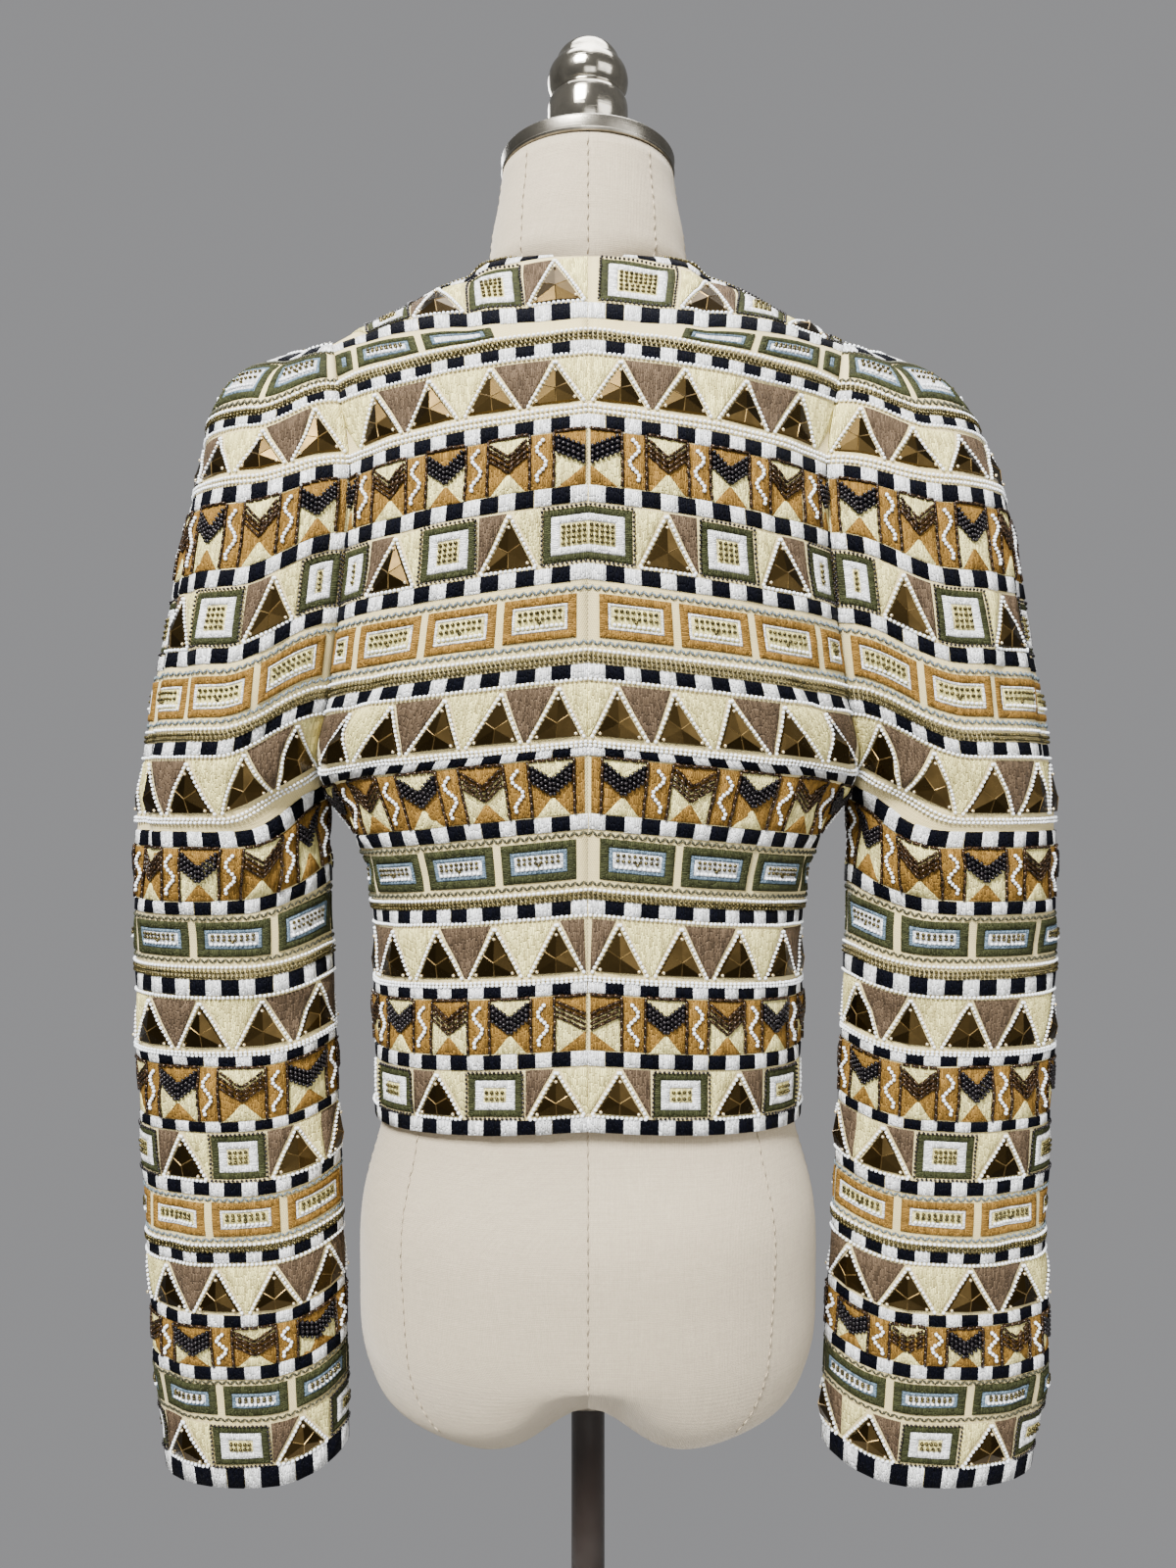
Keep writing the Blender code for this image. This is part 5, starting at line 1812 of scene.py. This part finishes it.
class JACKET_OT_sleeves(bpy.types.Operator):
    """Builds both sleeves with their embroidery"""

    bl_idname = "jacket.sleeves"
    bl_label = "Sleeves"

    def execute(self, context):
        low = [band._replace(low=band.low + SLEEVE_SHIFT, high=band.high + SLEEVE_SHIFT)
               for band in SLEEVE_LOW_BANDS]
        shared = [band for band in SHARED_BANDS if band.low > UNDERARM_ROW + 0.003]
        shared[-1] = shared[-1]._replace(high=SLEEVE_TOP_BANDS[0].low)
        levels = np.linspace(CUFF_HEIGHT + SLEEVE_SHIFT, TOP_ROW - 0.0006, 264)
        for side, name in ((-1, "sleeve_left"), (1, "sleeve_right")):
            surface = Surface(sleeve_surface(side), levels, 74, side, sleeve_fan, UNDERARM_ROW,
                              SLEEVE_CREASES)
            cloth_piece(name, surface, (*low, *shared, *SLEEVE_TOP_BANDS), 156, 21 + side)
        return {"FINISHED"}


class JACKET_OT_dress_form(bpy.types.Operator):
    """Builds the linen-covered dress form with its stitched seams"""

    bl_idname = "jacket.dress_form"
    bl_label = "Dress form"

    def execute(self, context):
        stand = context.scene.jacket_stand
        make, top = form_surface()
        surface = Surface(make, np.linspace(0, top, stand.rings), 112, 1, plain_fan, top + 1)
        linen = linen_material("Heathered linen", stand.linen)
        body = surface_shell(surface, "linen_form", linen, surface.columns, stand.rings - 1)
        bm = bmesh.new()
        bm.from_mesh(body.data)
        bmesh.ops.holes_fill(bm, edges=[edge for edge in bm.edges if edge.is_boundary], sides=0)
        bm.to_mesh(body.data)
        bm.free()
        work = Needlework(surface, 41)
        strip = Strip(work, Band(0.13, top - 0.002, "seam"))
        # Seams by their share of the way round, and how far they bow
        for share, bow in ((0.0, 0.0), (0.5, 0.0), (0.135, 0.018), (0.865, -0.018), (0.365, 0.0),
                           (0.635, 0.0), (0.25, 0.0), (0.75, 0.0)):
            h = np.linspace(0, 1, 90)
            u = (share + bow * np.sin(h * math.pi * 1.6)) * strip.length
            strip.string("grey stitch", np.stack([u, h], axis=-1), 0.0062, 0.0034, 0.0006, 0.0, 0.00002)
        dark, pale = (tuple(part * share for part in stand.linen) for share in (0.72, 0.9))
        thread = glass_bead_material("Linen seam thread", dark, 0.8, 0.0, pale)
        settle(work.bead_piece("linen_seams", ["grey stitch"], [thread]))
        settle(body, "form_body")
        return {"FINISHED"}


class JACKET_OT_neck_cap(bpy.types.Operator):
    """Builds the plated disc and turned knob on the neck"""

    bl_idname = "jacket.neck_cap"
    bl_label = "Neck plate and knob"

    def execute(self, context):
        nickel = context.scene.jacket_stand.nickel
        plate = plated_material("Worn plate", tuple(part * 0.55 for part in nickel), 0.24)
        knob = plated_material("Polished knob", nickel, 0.10)
        edge = 0.0016
        corner = [(PLATE_RADIUS - edge + edge * math.sin(a), PLATE_TOP - edge + edge * math.cos(a))
                  for a in np.linspace(math.pi / 2, 0, 7)]
        turned_piece("neck_disc", [
            (PLATE_RADIUS - 0.0022, PLATE_BOTTOM), (PLATE_RADIUS - 0.0004, PLATE_BOTTOM + 0.0006),
            (PLATE_RADIUS, PLATE_BOTTOM + 0.0016), (PLATE_RADIUS - 0.0003, PLATE_BOTTOM + 0.0024),
            (PLATE_RADIUS - 0.0011, PLATE_BOTTOM + 0.0028), *corner, (PLATE_RADIUS - 0.010, PLATE_TOP),
        ], plate, "neck_plate")
        steps = [(0.0200, 0.0), (0.0196, 0.006), (0.0192, 0.012), (0.0222, 0.0165), (0.0241, 0.0215),
                 (0.0247, 0.0290), (0.0241, 0.0355), (0.0222, 0.0392), (0.0212, 0.0400), (0.0226, 0.0418),
                 (0.0243, 0.0455), (0.0248, 0.0490), (0.0243, 0.0530), (0.0226, 0.0570), (0.0208, 0.0590),
                 (0.0200, 0.0605), (0.0186, 0.0640), (0.0160, 0.0675), (0.0115, 0.0708), (0.0060, 0.0728),
                 (0.0012, 0.0736)]
        profile = [(radius, FINIAL_BOTTOM + height) for radius, height in rounded(steps, 3)]
        turned_piece("turned_knob", profile, knob, "finial", 75.0)
        return {"FINISHED"}


class JACKET_OT_stand(bpy.types.Operator):
    """Builds the polished pole and the round foot"""

    bl_idname = "jacket.stand"
    bl_label = "Pole and foot"

    def execute(self, context):
        paint = lacquer_material("Black-brown lacquer", context.scene.jacket_stand.lacquer)
        rim = 0.0008
        turned_piece("upright", [
            (POLE_RADIUS - rim, POLE_BOTTOM), (POLE_RADIUS, POLE_BOTTOM + rim),
            (POLE_RADIUS, (POLE_BOTTOM + POLE_TOP) / 2), (POLE_RADIUS, POLE_TOP - rim),
            (POLE_RADIUS - rim, POLE_TOP),
        ], paint, "pole")
        turned_piece("round_foot", [
            (BASE_RADIUS - 0.004, 0.0), (BASE_RADIUS - 0.001, 0.0010), (BASE_RADIUS, 0.003),
            (BASE_RADIUS, BASE_THICKNESS - 0.006), (BASE_RADIUS - 0.0012, BASE_THICKNESS - 0.0028),
            (BASE_RADIUS - 0.004, BASE_THICKNESS - 0.001), (BASE_RADIUS - 0.012, BASE_THICKNESS),
            (BOSS_RADIUS + 0.010, BASE_THICKNESS + 0.0003), (BOSS_RADIUS + 0.004, BASE_THICKNESS + 0.002),
            (BOSS_RADIUS, BASE_THICKNESS + 0.005), (BOSS_RADIUS - 0.002, BASE_THICKNESS + 0.011),
            (BOSS_RADIUS - 0.004, BOSS_TOP - 0.003), (BOSS_RADIUS - 0.0055, BOSS_TOP - 0.0008),
            (BOSS_RADIUS - 0.007, BOSS_TOP),
        ], paint, "base")
        return {"FINISHED"}


class JACKET_OT_stage(bpy.types.Operator):
    """Sets the camera, the lights, the grey room and the pale floor"""

    bl_idname = "jacket.stage"
    bl_label = "Stage"

    def execute(self, context):
        stage = context.scene.jacket_stage
        bm = bmesh.new()
        bmesh.ops.create_circle(bm, cap_ends=True, radius=stage.floor_radius, segments=96)
        bmesh.ops.translate(bm, verts=bm.verts, vec=(0, 0, -0.0005))
        bmesh_object(bm, "floor", floor_material("Pale floor"), False)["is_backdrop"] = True
        world = context.scene.world or bpy.data.worlds.new("Room")
        context.scene.world = world
        world.use_nodes = True
        room = Tree(world.node_tree)
        seen = room.node("ShaderNodeLightPath").outputs["Is Camera Ray"]
        sent_back = (stage.room_light, stage.room_light, stage.room_light, 1.0)
        shown = (stage.grey, stage.grey, stage.grey * 1.03, 1.0)
        room.feed(world.node_tree.nodes["Background"], Color=room.mix(seen, sent_back, shown))
        for name, place, size, power in LAMPS:
            lamp = linked(name, bpy.data.lights.new(name, "AREA"))
            lamp.data.size = size
            lamp.data.energy = power
            lamp.location = place
            aim = Vector((0.0, 0.0, stage.eye)) - lamp.location
            lamp.rotation_euler = aim.to_track_quat("-Z", "Y").to_euler()
        camera = linked("camera", bpy.data.cameras.new("camera"))
        camera.location = (0.0, -stage.distance, stage.eye)
        camera.rotation_euler = (math.pi / 2, 0.0, 0.0)
        camera.data.lens = camera.data.sensor_width * stage.focal_pixels / PHOTO_HEIGHT
        camera.data.clip_start = 0.02
        context.scene.camera = camera
        return {"FINISHED"}


class JACKET_PT_panel(bpy.types.Panel):
    """Lists the pieces and their settings"""

    bl_label = "Beaded jacket"
    bl_idname = "JACKET_PT_panel"
    bl_space_type = "VIEW_3D"
    bl_region_type = "UI"
    bl_category = "Jacket"

    def draw(self, context):
        for operator in OPERATORS:
            self.layout.operator(operator.bl_idname)
        for name, group in GROUPS.items():
            settings = getattr(context.scene, name)
            box = self.layout.box()
            for key in group.__annotations__:
                box.prop(settings, key)


GROUPS = {
    "jacket_cloth": JacketCloth,
    "jacket_beads": JacketBeads,
    "jacket_stand": JacketStand,
    "jacket_stage": JacketStage,
}
OPERATORS = (
    JACKET_OT_torso,
    JACKET_OT_sleeves,
    JACKET_OT_dress_form,
    JACKET_OT_neck_cap,
    JACKET_OT_stand,
    JACKET_OT_stage,
)


def register():
    for group in GROUPS.values():
        bpy.utils.register_class(group)
    for name, group in GROUPS.items():
        setattr(bpy.types.Scene, name, PointerProperty(type=group))
    for thing in (*OPERATORS, JACKET_PT_panel):
        bpy.utils.register_class(thing)


def unregister():
    for thing in (JACKET_PT_panel, *reversed(OPERATORS)):
        bpy.utils.unregister_class(thing)
    for name, group in GROUPS.items():
        delattr(bpy.types.Scene, name)
        bpy.utils.unregister_class(group)


def corners(box):
    """A box as plain lists of numbers."""
    return [list(map(float, corner)) for corner in box]


def main():
    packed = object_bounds()
    register()
    bpy.ops.jacket.torso()
    bpy.ops.jacket.sleeves()
    bpy.ops.jacket.dress_form()
    bpy.ops.jacket.neck_cap()
    bpy.ops.jacket.stand()
    bpy.ops.jacket.stage()
    {"packed": corners(packed), "looks": corners(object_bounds())}


if __name__ == "__main__":
    main()
